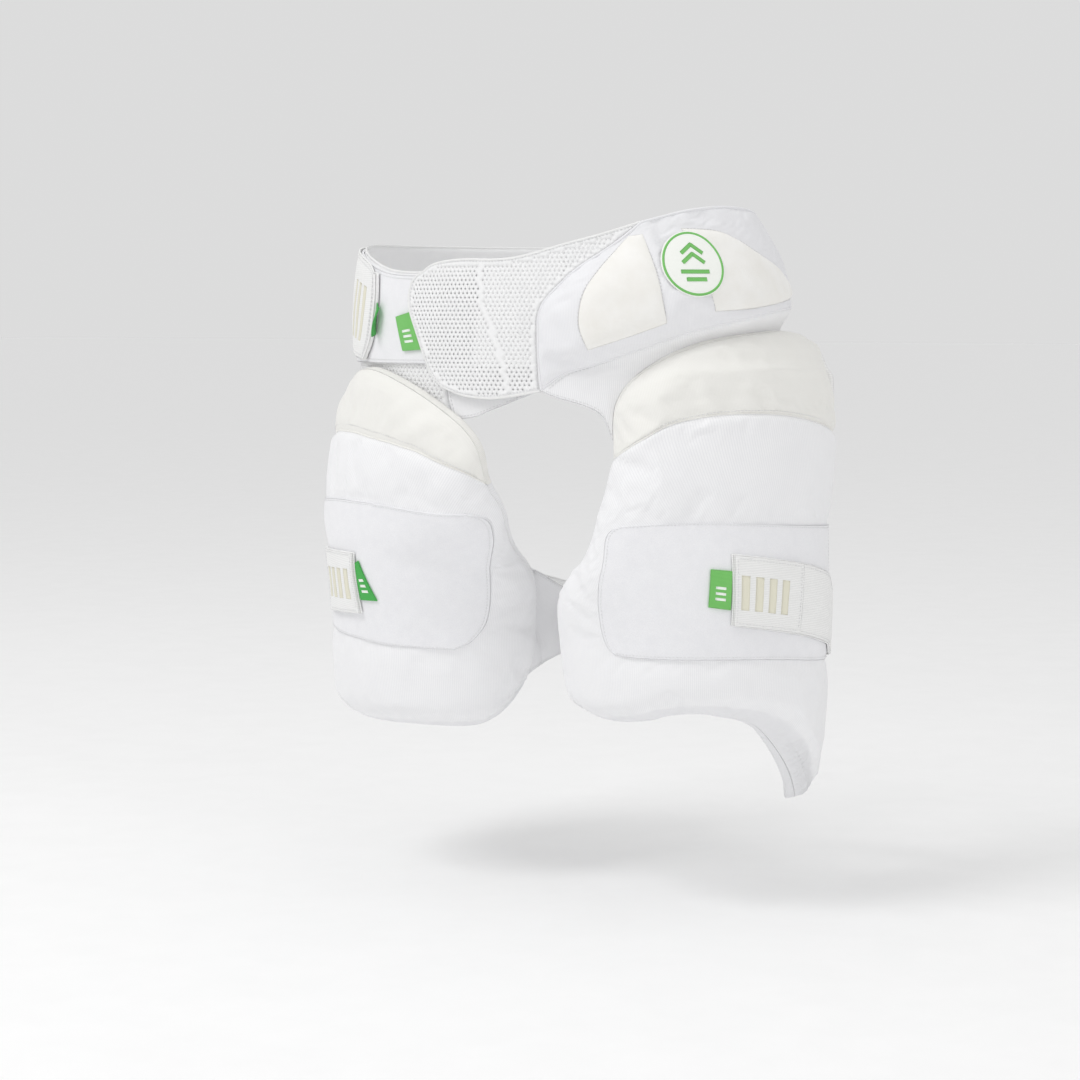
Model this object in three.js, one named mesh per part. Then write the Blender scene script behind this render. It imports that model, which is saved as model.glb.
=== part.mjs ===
// A cricket thigh guard set as worn: a wide belt with a padded hip, and a padded guard on each thigh.
// Millimetres and degrees. X runs to the wearer's left, Y to the back and Z up.
// The origin is the centre of the waist opening. Every piece lies at its own height above one worn form,
// which is an oval at the hips and parts into two thighs. A place on the form is an angle round from the
// front, counted outwards on each side, and a height up. Side 1 is the wearer's left and -1 their right.
import * as THREE from 'three';

// The worn form
const hipHalfWidth = 190;
const hipHalfDepth = 130;
const thighHalfWidth = 90;
const thighHalfDepth = 98;
const thighSpacing = 212;
const thighSetBack = 20;
const hipSway = 15;
const seatDepth = 32;
const formDrop = 460;

// Walls, and the room between one layer and the next
const fabric = 2;
const gap = 0.8;
const faceGap = 2;
const skinGap = 1.3;
const seatGap = 0.1;
const seamGap = 1.2;
const seamDegrees = 0.35;
const facet = 18.5;
// A degree round the form, taken as one even length where an outline is smoothed or measured
const millimetresPerDegree = 2.4;

// Belt
const beltHeight = 76;
const beltDrop = 52;
const loopFaceInset = 3;
const bindingDegrees = 1.8;
const bindingThickness = 3;
const tabThickness = 1.2;
const tabLift = 6;

// Hip pad
const hipPadHeight = 128;
const hipPadDrop = 60;
const hipPadThickness = 19;
const hipEdgeRoll = 30;
const hipSegmentThickness = 1.6;
const badgeRadius = 26;
const badgeThickness = 1.2;
const bridgeLow = 5;

// Thigh pads
const leftPadTop = 29;
const leftPadLength = 312;
const rightPadTop = 58;
const rightPadLength = 306;
const padThickness = 37;
const padEdge = 8;
const padEdgeRoll = 26;
const rollShares = [0, 0.1, 0.35, 0.8];
const strapPress = 6;
const pressReachDegrees = 40;
const pressSpread = 0.75;
const leanFromDegrees = 80;
const leanFullDegrees = 112;
const loopFaceThickness = 1.5;

// Leg straps and wraps
const strapWidth = 50;
const strapThickness = 2.2;
const strapSlantDegrees = 2.5;
const strapEndDegrees = 215;
const strapLeavesDegrees = 22;
const strapFreeDegrees = 8;
const strapPieces = 12;
const patchThickness = 1;
const cornerLoopThickness = 2.2;
const cornerLoopBulge = 5;

// How the form changes on the way down: `down` is a share of formDrop, `leg` blends hip into thigh,
// `apart` is a share of half the thigh spacing, `wide` and `deep` are shares of the half sizes,
// `sway`, `back` and `seat` are shares of hipSway, thighSetBack and seatDepth
const formRows = [
  { down: -0.24, leg: 0, apart: 0, wide: 0.84, deep: 0.845, sway: 0, back: 0, seat: 0 },
  { down: -0.11, leg: 0, apart: 0, wide: 0.937, deep: 0.93, sway: 0, back: 0, seat: 0 },
  { down: 0, leg: 0, apart: 0, wide: 0.98, deep: 0.977, sway: 0, back: 0, seat: 0.15 },
  { down: 0.13, leg: 0, apart: 0, wide: 1.01, deep: 1, sway: 0, back: 0.1, seat: 1 },
  { down: 0.24, leg: 0.05, apart: 0.075, wide: 1.005, deep: 1, sway: 0.075, back: 0.25, seat: 0.75 },
  { down: 0.35, leg: 0.42, apart: 0.425, wide: 1.015, deep: 1.01, sway: 0.42, back: 0.5, seat: 0.2 },
  { down: 0.467, leg: 0.9, apart: 0.87, wide: 1.04, deep: 1.045, sway: 0.87, back: 0.8, seat: 0 },
  { down: 0.61, leg: 1, apart: 1, wide: 1, deep: 1, sway: 1, back: 1, seat: 0 },
  { down: 0.8, leg: 1, apart: 1, wide: 0.92, deep: 0.9, sway: 1, back: 1, seat: 0 },
  { down: 1, leg: 1, apart: 0.98, wide: 0.845, deep: 0.815, sway: 0.98, back: 1, seat: 0 },
];

// A smooth run of one column of a table against another
function column(rows, from, to) {
  const x = rows.map((row) => row[from]);
  const y = rows.map((row) => row[to]);
  const top = rows.length - 1;
  const slope = y.map((value, i) => {
    if (i === 0) return (y[1] - y[0]) / (x[1] - x[0]);
    if (i === top) return (y[top] - y[top - 1]) / (x[top] - x[top - 1]);
    const before = (value - y[i - 1]) / (x[i] - x[i - 1]);
    const after = (y[i + 1] - value) / (x[i + 1] - x[i]);
    return before * after <= 0 ? 0 : (2 * before * after) / (before + after);
  });
  return (at) => {
    const clamped = THREE.MathUtils.clamp(at, x[0], x[top]);
    let i = 0;
    while (i < top - 1 && clamped > x[i + 1]) i += 1;
    const step = x[i + 1] - x[i];
    const t = (clamped - x[i]) / step;
    return (2 * t ** 3 - 3 * t ** 2 + 1) * y[i] + (t ** 3 - 2 * t ** 2 + t) * step * slope[i]
      + (3 * t ** 2 - 2 * t ** 3) * y[i + 1] + (t ** 3 - t ** 2) * step * slope[i + 1];
  };
}

const formColumns = ['leg', 'apart', 'wide', 'deep', 'sway', 'back', 'seat'];
const form = Object.fromEntries(formColumns.map((name) => [name, column(formRows, 'down', name)]));

function formPoint(side, angle, z) {
  const down = -z / formDrop;
  const turn = THREE.MathUtils.degToRad(angle);
  const halfWidth = THREE.MathUtils.lerp(hipHalfWidth, thighHalfWidth, form.leg(down)) * form.wide(down);
  const halfDepth = THREE.MathUtils.lerp(hipHalfDepth, thighHalfDepth, form.leg(down)) * form.deep(down);
  const out = (thighSpacing / 2) * form.apart(down) + halfWidth * Math.sin(turn);
  const seat = seatDepth * form.seat(down) * (1 - Math.cos(turn)) / 2;
  return new THREE.Vector3(
    side * out + hipSway * form.sway(down),
    thighSetBack * form.back(down) + seat - halfDepth * Math.cos(turn),
    z,
  );
}

// A point at a height above the form, straight out from its surface
function raised(side, angle, z, height) {
  const turnStep = 0.1;
  const downStep = 0.5;
  const round = formPoint(side, angle + turnStep, z).sub(formPoint(side, angle - turnStep, z));
  const along = formPoint(side, angle, z + downStep).sub(formPoint(side, angle, z - downStep));
  const normal = round.cross(along).multiplyScalar(side).normalize();
  return formPoint(side, angle, z).addScaledVector(normal, height);
}

// An outline's side: a smooth curve through its places
function edge(places) {
  const points = places.map(([angle, z]) => new THREE.Vector2(angle * millimetresPerDegree, z));
  const curve = new THREE.SplineCurve(points);
  return {
    length: curve.getLength(),
    at: (share) => {
      const point = curve.getPointAt(THREE.MathUtils.clamp(share, 0, 1));
      return [point.x / millimetresPerDegree, point.y];
    },
  };
}

// The distance from a place to the nearest of an outline's sides
function distanceTo(...sides) {
  const pieces = 24;
  const segments = sides.flatMap((side) => {
    const line = edge(side);
    return Array.from({ length: pieces }, (_, i) => [line.at(i / pieces), line.at((i + 1) / pieces)]);
  }).map((ends) => ends.map(([angle, z]) => new THREE.Vector2(angle * millimetresPerDegree, z)));
  return (angle, z) => {
    const place = new THREE.Vector2(angle * millimetresPerDegree, z);
    return Math.min(...segments.map(([from, to]) => {
      const line = to.clone().sub(from);
      const share = THREE.MathUtils.clamp(place.clone().sub(from).dot(line) / line.lengthSq(), 0, 1);
      return from.clone().addScaledVector(line, share).distanceTo(place);
    }));
  };
}

// How far a padded face has risen, as a share, at a distance from its edge
function rolled(distance, reach) {
  const t = THREE.MathUtils.clamp(distance / reach, 0, 1);
  return Math.sqrt(1 - (1 - t) ** 2);
}

// Shares along a side, closer together near an end where the pad's face rolls over
function steps(length, rollStart, rollEnd, size) {
  const close = rollShares.map((share) => (share * padEdgeRoll) / length);
  const from = rollStart ? close : [0];
  const to = rollEnd ? close.map((share) => 1 - share).reverse() : [1];
  const low = from[from.length - 1];
  const high = to[0];
  const count = Math.max(1, Math.round(((high - low) * length) / size));
  const middle = Array.from({ length: count - 1 }, (_, i) => low + ((high - low) * (i + 1)) / count);
  return [...from, ...middle, ...to];
}

// One solid between four sides of an outline. The top and bottom run from `start` to `end`, and these
// run down. `inner` and `outer` give the heights of its two faces, and `rolls` names the sides where
// its face rolls over.
function panel(name, material, { side, top, bottom, start, end, inner, outer, rolls = [], size = facet }) {
  const sides = { top: edge(top), bottom: edge(bottom), start: edge(start), end: edge(end) };
  const width = Math.max(sides.top.length, sides.bottom.length);
  const height = Math.max(sides.start.length, sides.end.length);
  const across = steps(width, rolls.includes('start'), rolls.includes('end'), size);
  const downwards = steps(height, rolls.includes('top'), rolls.includes('bottom'), size);
  const corners = [sides.top.at(0), sides.top.at(1), sides.bottom.at(0), sides.bottom.at(1)];
  const faces = { outer: [], inner: [] };
  for (const t of downwards) {
    for (const s of across) {
      const [above, below] = [sides.top.at(s), sides.bottom.at(s)];
      const [before, after] = [sides.start.at(t), sides.end.at(t)];
      const [angle, z] = [0, 1].map((axis) => {
        const cornerTop = (1 - s) * corners[0][axis] + s * corners[1][axis];
        const cornerLow = (1 - s) * corners[2][axis] + s * corners[3][axis];
        const down = (1 - t) * above[axis] + t * below[axis];
        const along = (1 - s) * before[axis] + s * after[axis];
        return down + along - (1 - t) * cornerTop - t * cornerLow;
      });
      faces.outer.push(raised(side, angle, z, outer(angle, z, s)));
      faces.inner.push(raised(side, angle, z, inner(angle, z, s)));
    }
  }
  return solid(name, material, faces, across.length, downwards.length);
}

// A closed mesh from two like grids of points, with walls round their rim
function solid(name, material, faces, columns, rows) {
  const points = [...faces.outer, ...faces.inner];
  const offset = faces.outer.length;
  const index = [];
  const quad = (a, b, c, d) => index.push(a, b, c, a, c, d);
  for (let row = 0; row < rows - 1; row += 1) {
    for (let col = 0; col < columns - 1; col += 1) {
      const a = row * columns + col;
      const corners = [a, a + columns, a + columns + 1, a + 1];
      quad(...corners);
      quad(...corners.map((corner) => corner + offset).reverse());
    }
  }
  const rim = [];
  for (let col = 0; col < columns - 1; col += 1) rim.push(col);
  for (let row = 0; row < rows - 1; row += 1) rim.push(row * columns + columns - 1);
  for (let col = columns - 1; col > 0; col -= 1) rim.push((rows - 1) * columns + col);
  for (let row = rows - 1; row > 0; row -= 1) rim.push(row * columns);
  rim.forEach((from, i) => {
    const to = rim[(i + 1) % rim.length];
    quad(from, to, to + offset, from + offset);
  });
  if (signedVolume(points, index) < 0) index.reverse();
  const geometry = new THREE.BufferGeometry().setFromPoints(points).setIndex(index);
  geometry.computeVertexNormals();
  const mesh = new THREE.Mesh(geometry, material);
  mesh.name = name;
  return mesh;
}

function signedVolume(points, index) {
  let sum = 0;
  for (let i = 0; i < index.length; i += 3) {
    const [a, b, c] = index.slice(i, i + 3).map((corner) => points[corner]);
    sum += a.dot(new THREE.Vector3().crossVectors(b, c)) / 6;
  }
  return sum;
}

// Heights of the fabric layers, counted from the skin out
const layer = (count) => gap + count * (fabric + gap);
const flat = (count, thickness = fabric) => ({
  inner: () => layer(count),
  outer: () => layer(count) + thickness,
});
const over = (surface, clearance, thickness) => ({
  inner: (angle, z) => surface(angle, z) + clearance,
  outer: (angle, z) => surface(angle, z) + clearance + thickness,
});

// Places from table rows: `at` is an angle, `up` and `down` are shares of the group's own height
const beltPlace = ({ at, up }) => [at, beltHeight * up - beltDrop];
const hipPlace = ({ at, up }) => [at, hipPadHeight * up - hipPadDrop];
const leftPlace = ({ at, down }) => [at, -leftPadTop - leftPadLength * down];
const rightPlace = ({ at, down }) => [at, -rightPadTop - rightPadLength * down];
const shifted = (places, angle, z = 0) => places.map(([a, b]) => [a + angle, b + z]);
const first = (places) => places[0];
const last = (places) => places[places.length - 1];

// Materials
const cloth = (color, roughness = 0.9) => new THREE.MeshStandardMaterial({ color, roughness, metalness: 0 });
const whiteKnit = () => cloth(0xf3f3f5);
const whiteMesh = () => cloth(0xededee);
const loopPile = () => cloth(0xefeff2, 1);
const stretchKnit = () => cloth(0xe9e9ea, 0.8);
const creamFoam = () => cloth(0xf3f2ee, 0.95);
const creamStretch = () => cloth(0xf0f0eb, 0.85);
const strapWeb = () => cloth(0xf2f2f0);
const whiteBinding = () => cloth(0xf9f9f7);
const greenRibbon = () => cloth(0x6cc068, 0.7);
const badgePrint = () => cloth(0xf4f6f1, 0.6);

// Belt on the wearer's right: mesh against the body, a loop face on it, and a plain gusset at the crotch
function rightBelt() {
  const top = [
    { at: -6, up: 0.99 }, { at: 15, up: 0.97 }, { at: 27, up: 0.99 }, { at: 35, up: 1.04 },
    { at: 46, up: 1.14 }, { at: 62, up: 1.26 }, { at: 90, up: 1.32 }, { at: 158, up: 1.3 },
  ].map(beltPlace);
  const meshFront = [
    { at: -6, up: 0.99 }, { at: 1, up: 0.3 }, { at: 6.5, up: -0.28 }, { at: 4, up: -0.6 },
  ].map(beltPlace);
  const meshLow = [
    { at: 4, up: -0.6 }, { at: 30, up: -0.78 }, { at: 80, up: -0.95 }, { at: 110, up: -0.75 },
    { at: 135, up: -0.1 }, { at: 158, up: 0.34 },
  ].map(beltPlace);
  const loopTop = [
    { at: -5, up: 0.99 }, { at: 15, up: 0.97 }, { at: 27, up: 0.99 }, { at: 35, up: 1.04 },
    { at: 46, up: 1.14 }, { at: 62, up: 1.26 }, { at: 90, up: 1.32 }, { at: 150, up: 1.3 },
  ].map(beltPlace);
  const loopLow = [
    { at: -2, up: 0.04 }, { at: 60, up: 0.04 }, { at: 110, up: 0.16 }, { at: 150, up: 0.38 },
  ].map(beltPlace);
  const gussetFront = [{ at: 3.4, up: -0.04 }, { at: 6.5, up: -0.28 }, { at: 4, up: -0.6 }].map(beltPlace);
  const gussetLow = [
    { at: 4, up: -0.6 }, { at: -2, up: -0.57 }, { at: -7, up: -0.49 }, { at: -20, up: -0.27 },
  ].map(beltPlace);
  const gussetFar = { at: -20, up: -0.04 };
  return [
    panel('belt_mesh_right', whiteMesh(), {
      side: -1, top, bottom: meshLow, start: meshFront, end: [last(top), last(meshLow)], ...flat(0),
    }),
    panel('belt_loop_face_right', loopPile(), {
      side: -1,
      top: shifted(loopTop, 0, -loopFaceInset),
      bottom: shifted(loopLow, 0, -loopFaceInset),
      start: shifted([first(loopTop), first(loopLow)], 0, -loopFaceInset),
      end: shifted([last(loopTop), last(loopLow)], 0, -loopFaceInset),
      ...flat(1),
    }),
    panel('front_gusset', whiteKnit(), {
      side: -1,
      top: shifted([first(gussetFront), beltPlace(gussetFar)], -seamDegrees),
      bottom: shifted(gussetLow, -seamDegrees),
      start: shifted(gussetFront, -seamDegrees),
      end: shifted([beltPlace(gussetFar), last(gussetLow)], -seamDegrees),
      ...flat(0),
    }),
  ];
}

// Front wing of mesh, sewn to the hip pad and closed over the loop face, with a tab under its end
const wingTop = [
  { at: -14, up: 0.97 }, { at: -10, up: 1.05 }, { at: -2, up: 1.09 }, { at: 13, up: 1.1 },
  { at: 28, up: 1.25 }, { at: 39, up: 1.36 }, { at: 49, up: 1.47 },
].map(beltPlace);
const wingEnd = [
  { at: -14, up: 0.97 }, { at: -17.4, up: 0.88 }, { at: -18.6, up: 0.72 }, { at: -17.8, up: 0.55 },
  { at: -15, up: 0.32 }, { at: -10.5, up: -0.07 }, { at: -7, up: -0.24 },
].map(beltPlace);
const wingLow = [
  { at: -7, up: -0.24 }, { at: -1, up: -0.33 }, { at: 6, up: -0.36 }, { at: 12, up: -0.34 },
  { at: 20, up: -0.28 },
].map(beltPlace);
const hipSeam = [
  { at: 49, up: 1.47 }, { at: 39, up: 1.2 }, { at: 31, up: 1 }, { at: 25, up: 0.79 },
  { at: 21, up: 0.58 }, { at: 20, up: 0.33 }, { at: 20, up: -0.28 },
].map(beltPlace);

function frontWing() {
  const tabEdge = [{ at: 18.1, up: 0.54 }, { at: 13.8, up: 0.145 }].map(beltPlace);
  const tabEnd = [{ at: 24, up: 0.49 }, { at: 20.7, up: 0.13 }].map(beltPlace);
  return [
    panel('front_wing', whiteMesh(), {
      side: 1, top: wingTop, bottom: wingLow, start: wingEnd, end: hipSeam, ...flat(2),
    }),
    panel('wing_tab', greenRibbon(), {
      side: -1,
      top: [first(tabEdge), first(tabEnd)],
      bottom: [last(tabEdge), last(tabEnd)],
      start: tabEdge,
      end: tabEnd,
      ...flat(2, tabThickness),
    }),
  ];
}

// Hip pad. Its lower edge stands off the body more and more towards the side.
const hipTop = [
  first(hipSeam),
  ...[{ at: 66, up: 1.01 }, { at: 84, up: 1.03 }, { at: 104, up: 1 }, { at: 122, up: 0.9 }].map(hipPlace),
];
const hipLow = [
  last(hipSeam),
  ...[
    { at: 26, up: 0 }, { at: 34, up: 0.06 }, { at: 46, up: 0.16 }, { at: 59, up: 0.26 },
    { at: 73, up: 0.32 }, { at: 95, up: 0.37 }, { at: 122, up: 0.36 },
  ].map(hipPlace),
];
const hipRear = [last(hipTop), last(hipLow)];
const lowEdgeLift = column([
  { at: 20, share: 0 }, { at: 40, share: 0.12 }, { at: 60, share: 0.45 }, { at: 85, share: 0.8 },
  { at: 105, share: 0.8 }, { at: 122, share: 0.5 },
], 'at', 'share');
const hipFullness = column([
  { up: 0.3, share: 1 }, { up: 0.47, share: 1 }, { up: 0.63, share: 0.78 }, { up: 0.8, share: 0.4 },
  { up: 0.94, share: 0.12 }, { up: 1.03, share: 0 },
], 'up', 'share');
const hipLowHeight = column(hipLow.map(([at, z]) => ({ at, z })), 'at', 'z');
const fromHipEdge = distanceTo(hipTop, hipSeam, hipRear);

function hipFace(angle, z) {
  const bottomRoll = rolled(Math.max(0, z - hipLowHeight(angle)), hipEdgeRoll);
  const lowEdge = THREE.MathUtils.lerp(bottomRoll, 1, lowEdgeLift(angle));
  const risen = rolled(fromHipEdge(angle, z), hipEdgeRoll) * lowEdge;
  const full = hipFullness((z + hipPadDrop) / hipPadHeight);
  return layer(2) + fabric + (hipPadThickness - fabric) * risen * full;
}

// The four quarters of a round outline
function roundSides(side, [angle, z], radius, height) {
  const place = (shift) => raised(side, angle + shift, z, height);
  const perDegree = place(0.5).distanceTo(place(-0.5));
  const quarter = (from, to) => [0, 0.25, 0.5, 0.75, 1].map((share) => {
    const turn = THREE.MathUtils.degToRad(THREE.MathUtils.lerp(from, to, share));
    return [angle + (radius * Math.cos(turn)) / perDegree, z + radius * Math.sin(turn)];
  });
  return {
    top: quarter(135, 45), bottom: quarter(225, 315), start: quarter(135, 225), end: quarter(45, -45),
  };
}

function hipPad() {
  const frontTop = [{ at: 45, up: 0.845 }, { at: 49, up: 0.855 }].map(hipPlace);
  const frontStart = [
    { at: 45, up: 0.845 }, { at: 42, up: 0.775 }, { at: 37, up: 0.64 }, { at: 33, up: 0.49 },
    { at: 31.5, up: 0.31 }, { at: 33, up: 0.155 },
  ].map(hipPlace);
  const frontEnd = [
    { at: 49, up: 0.855 }, { at: 51.5, up: 0.61 }, { at: 52.5, up: 0.43 }, { at: 53, up: 0.32 },
  ].map(hipPlace);
  const rearTop = [
    { at: 61, up: 0.89 }, { at: 73, up: 0.875 }, { at: 81, up: 0.82 }, { at: 90, up: 0.725 },
    { at: 103, up: 0.61 }, { at: 110, up: 0.49 },
  ].map(hipPlace);
  const rearLow = [
    { at: 67, up: 0.385 }, { at: 82, up: 0.4 }, { at: 110, up: 0.45 },
  ].map(hipPlace);
  const badge = hipPlace({ at: 62, up: 0.665 });
  return [
    panel('hip_pad', stretchKnit(), {
      side: 1,
      top: shifted(hipTop, seamDegrees),
      bottom: shifted(hipLow, seamDegrees),
      start: shifted(hipSeam, seamDegrees),
      end: shifted(hipRear, seamDegrees),
      inner: () => layer(2),
      outer: hipFace,
      rolls: ['top', 'bottom', 'start', 'end'],
    }),
    panel('hip_segment_front', creamFoam(), {
      side: 1,
      top: frontTop,
      bottom: [last(frontStart), last(frontEnd)],
      start: frontStart,
      end: frontEnd,
      ...over(hipFace, skinGap, hipSegmentThickness),
    }),
    panel('hip_segment_rear', creamFoam(), {
      side: 1,
      top: rearTop,
      bottom: rearLow,
      start: [first(rearTop), first(rearLow)],
      end: [last(rearTop), last(rearLow)],
      ...over(hipFace, skinGap, hipSegmentThickness),
    }),
    panel('hip_badge', badgePrint(), {
      side: 1,
      ...roundSides(1, badge, badgeRadius, hipFace(...badge)),
      ...over(hipFace, hipSegmentThickness + 2 * skinGap - 3 * seatGap, badgeThickness),
      size: facet / 2,
    }),
  ];
}

// One thigh pad's shape: the height of its face anywhere on the thigh
function padShape({ place, across, down, lean, press, capTop, capSeam, inner, low, outer }) {
  const outlines = [capTop, capSeam, inner, low, outer];
  const [top, seam, inside, bottom, outside] = outlines.map((rows) => rows.map(place));
  const [capStart, capEnd] = [[first(top), first(seam)], [last(top), last(seam)]];
  const fromEdge = distanceTo(top, capStart, inside, bottom, outside, capEnd);
  const acrossShare = column(across, 'at', 'share');
  const downShare = column(down, 'down', 'share');
  const leanShare = column(lean, 'down', 'share');
  const [, zTop] = place({ at: 0, down: 0 });
  const [, zLow] = place({ at: 0, down: 1 });
  const [pressAngle, pressHeight] = place(press);
  const pressed = (angle, z) => {
    const round = THREE.MathUtils.smoothstep(angle, pressAngle - pressReachDegrees, pressAngle);
    return strapPress * round * Math.exp(-(((z - pressHeight) / (strapWidth * pressSpread)) ** 2));
  };
  const face = (angle, z) => {
    const share = (z - zTop) / (zLow - zTop);
    const leaning = 1 + leanShare(share) * THREE.MathUtils.smoothstep(angle, leanFromDegrees, leanFullDegrees);
    const full = padThickness * acrossShare(angle) * downShare(share) * leaning - pressed(angle, z);
    return layer(1) + padEdge + Math.max(0, full - padEdge) * rolled(fromEdge(angle, z), padEdgeRoll);
  };
  // how thick the pad is where its strap leaves it
  const strapRise = padThickness * (1 + leanShare(press.down));
  return { top, seam, inside, bottom, outside, capStart, capEnd, face, strapRise };
}

function thighPad(leg, side, shape) {
  const faces = { inner: () => layer(1), outer: shape.face };
  const below = (places) => shifted(places, 0, -seamGap / 2);
  const above = (places) => shifted(places, 0, seamGap / 2);
  return [
    panel(`${leg}_pad_cap`, creamStretch(), {
      side,
      top: shape.top,
      bottom: above(shape.seam),
      start: [first(shape.top), first(above(shape.seam))],
      end: [last(shape.top), last(above(shape.seam))],
      ...faces,
      rolls: ['top', 'end'],
    }),
    panel(`${leg}_pad`, whiteKnit(), {
      side,
      top: below(shape.seam),
      bottom: shape.bottom,
      start: [first(below(shape.seam)), ...shape.inside.slice(1)],
      end: [last(below(shape.seam)), ...shape.outside.slice(1)],
      ...faces,
      rolls: ['start', 'end', 'bottom'],
    }),
  ];
}

// A leg strap lies on the pad's face, leaves it at the outer edge and comes down to the thigh behind.
// `past` counts degrees beyond the pad's edge and `share` is of the strap's full height there.
const strapFall = column([
  { past: -14, share: 1 }, { past: -6, share: 0.93 }, { past: -3, share: 0.84 }, { past: 0, share: 0.7 },
  { past: 4, share: 0.49 }, { past: 12, share: 0.26 }, { past: 22, share: 0.1 }, { past: 34, share: 0.02 },
  { past: 45, share: 0 },
], 'past', 'share');

function strapSurface(shape, edgeAngle) {
  const clearance = loopFaceThickness + faceGap + gap;
  return (angle, z) => {
    const fall = layer(0) + (layer(1) + shape.strapRise + clearance - layer(0)) * strapFall(angle - edgeAngle);
    if (angle > edgeAngle) return fall;
    const onFace = shape.face(angle, z) + clearance;
    const [from, to] = [edgeAngle - strapLeavesDegrees, edgeAngle - strapFreeDegrees];
    const leaving = THREE.MathUtils.smoothstep(angle, from, to);
    return THREE.MathUtils.lerp(onFace, Math.max(onFace, fall), leaving);
  };
}

// The parts of a strap between two shares of its middle line, which runs from its free end to the wrap
function strapSides(middle, from, to) {
  const line = edge(middle);
  const run = Array.from({ length: strapPieces + 1 }, (_, i) => (
    line.at(THREE.MathUtils.lerp(from, to, i / strapPieces))
  ));
  const top = shifted(run, strapSlantDegrees, strapWidth / 2);
  const bottom = shifted(run, -strapSlantDegrees, -strapWidth / 2);
  return { top, bottom, start: [first(top), first(bottom)], end: [last(top), last(bottom)] };
}

function legFastening(leg, side, shape, rows) {
  const { place, edgeAngle, loop, middle, patchShare, tab, wrapTop, wrapLow } = rows;
  const surface = strapSurface(shape, edgeAngle);
  const loopSides = Object.fromEntries(Object.entries(loop).map(([name, places]) => [name, places.map(place)]));
  const [tabStart, tabEnd] = [tab.start.map(place), tab.end.map(place)];
  const [top, bottom] = [wrapTop.map(place), wrapLow.map(place)];
  return [
    panel(`${leg}_loop_face`, loopPile(), {
      side, ...loopSides, ...over(shape.face, faceGap, loopFaceThickness),
    }),
    panel(`${leg}_strap`, strapWeb(), {
      side, ...strapSides(middle.map(place), 0, 1), ...over(surface, 0, strapThickness),
    }),
    panel(`${leg}_strap_patch`, strapWeb(), {
      side,
      ...strapSides(middle.map(place), 0, patchShare),
      ...over(surface, strapThickness + gap, patchThickness),
    }),
    panel(`${leg}_strap_tab`, greenRibbon(), {
      side,
      top: [first(tabStart), first(tabEnd)],
      bottom: [last(tabStart), last(tabEnd)],
      start: tabStart,
      end: tabEnd,
      ...over(surface, 0, tabThickness),
    }),
    panel(`${leg}_wrap`, whiteKnit(), {
      side, top, bottom, start: [first(top), first(bottom)], end: [last(top), last(bottom)], ...flat(0),
    }),
  ];
}

// Wearer's left leg: the pad covers the front and outside, and drops to a lobe at the outside
const leftShape = padShape({
  place: leftPlace,
  across: [
    { at: -62, share: 0.2 }, { at: -40, share: 0.3 }, { at: -20, share: 0.58 }, { at: 0, share: 0.84 },
    { at: 20, share: 0.98 }, { at: 45, share: 1 }, { at: 110, share: 1 }, { at: 124, share: 0.95 },
    { at: 138, share: 0.8 },
  ],
  down: [
    { down: 0, share: 0.75 }, { down: 0.09, share: 0.86 }, { down: 0.21, share: 0.96 },
    { down: 0.35, share: 1 }, { down: 0.9, share: 1 }, { down: 1.25, share: 0.85 },
  ],
  lean: [
    { down: 0, share: 0.1 }, { down: 0.2, share: 0.13 }, { down: 0.33, share: 0.04 },
    { down: 0.45, share: -0.14 }, { down: 0.62, share: -0.34 }, { down: 1, share: -0.34 },
    { down: 1.25, share: -0.15 },
  ],
  press: { at: 124, down: 0.77 },
  capTop: [
    { at: 36.5, down: 0.27 }, { at: 38, down: 0.2 }, { at: 40, down: 0.157 }, { at: 43, down: 0.119 },
    { at: 48, down: 0.08 }, { at: 56, down: 0.042 }, { at: 68, down: 0.013 }, { at: 85, down: 0 },
    { at: 110, down: 0.005 }, { at: 138, down: 0.07 },
  ],
  capSeam: [
    { at: 35, down: 0.315 }, { at: 44, down: 0.263 }, { at: 50, down: 0.231 }, { at: 57, down: 0.215 },
    { at: 65, down: 0.208 }, { at: 77, down: 0.212 }, { at: 89, down: 0.228 }, { at: 110, down: 0.27 },
    { at: 139, down: 0.31 },
  ],
  inner: [
    { at: 35, down: 0.315 }, { at: 24, down: 0.423 }, { at: 10, down: 0.513 }, { at: -14, down: 0.612 },
    { at: -40, down: 0.7 }, { at: -58, down: 0.79 }, { at: -63, down: 0.87 }, { at: -61, down: 0.94 },
  ],
  low: [
    { at: -61, down: 0.94 }, { at: -45, down: 0.975 }, { at: -27, down: 0.988 }, { at: -7, down: 1.003 },
    { at: 12, down: 0.994 }, { at: 24, down: 0.978 }, { at: 38, down: 0.974 }, { at: 49, down: 0.984 },
    { at: 59, down: 0.997 }, { at: 68, down: 1.022 }, { at: 78, down: 1.07 }, { at: 90, down: 1.131 },
    { at: 106, down: 1.205 }, { at: 122, down: 1.253 }, { at: 132, down: 1.23 }, { at: 137, down: 1.15 },
  ],
  outer: [{ at: 139, down: 0.31 }, { at: 141, down: 0.6 }, { at: 141, down: 0.9 }, { at: 137, down: 1.15 }],
});

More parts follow.
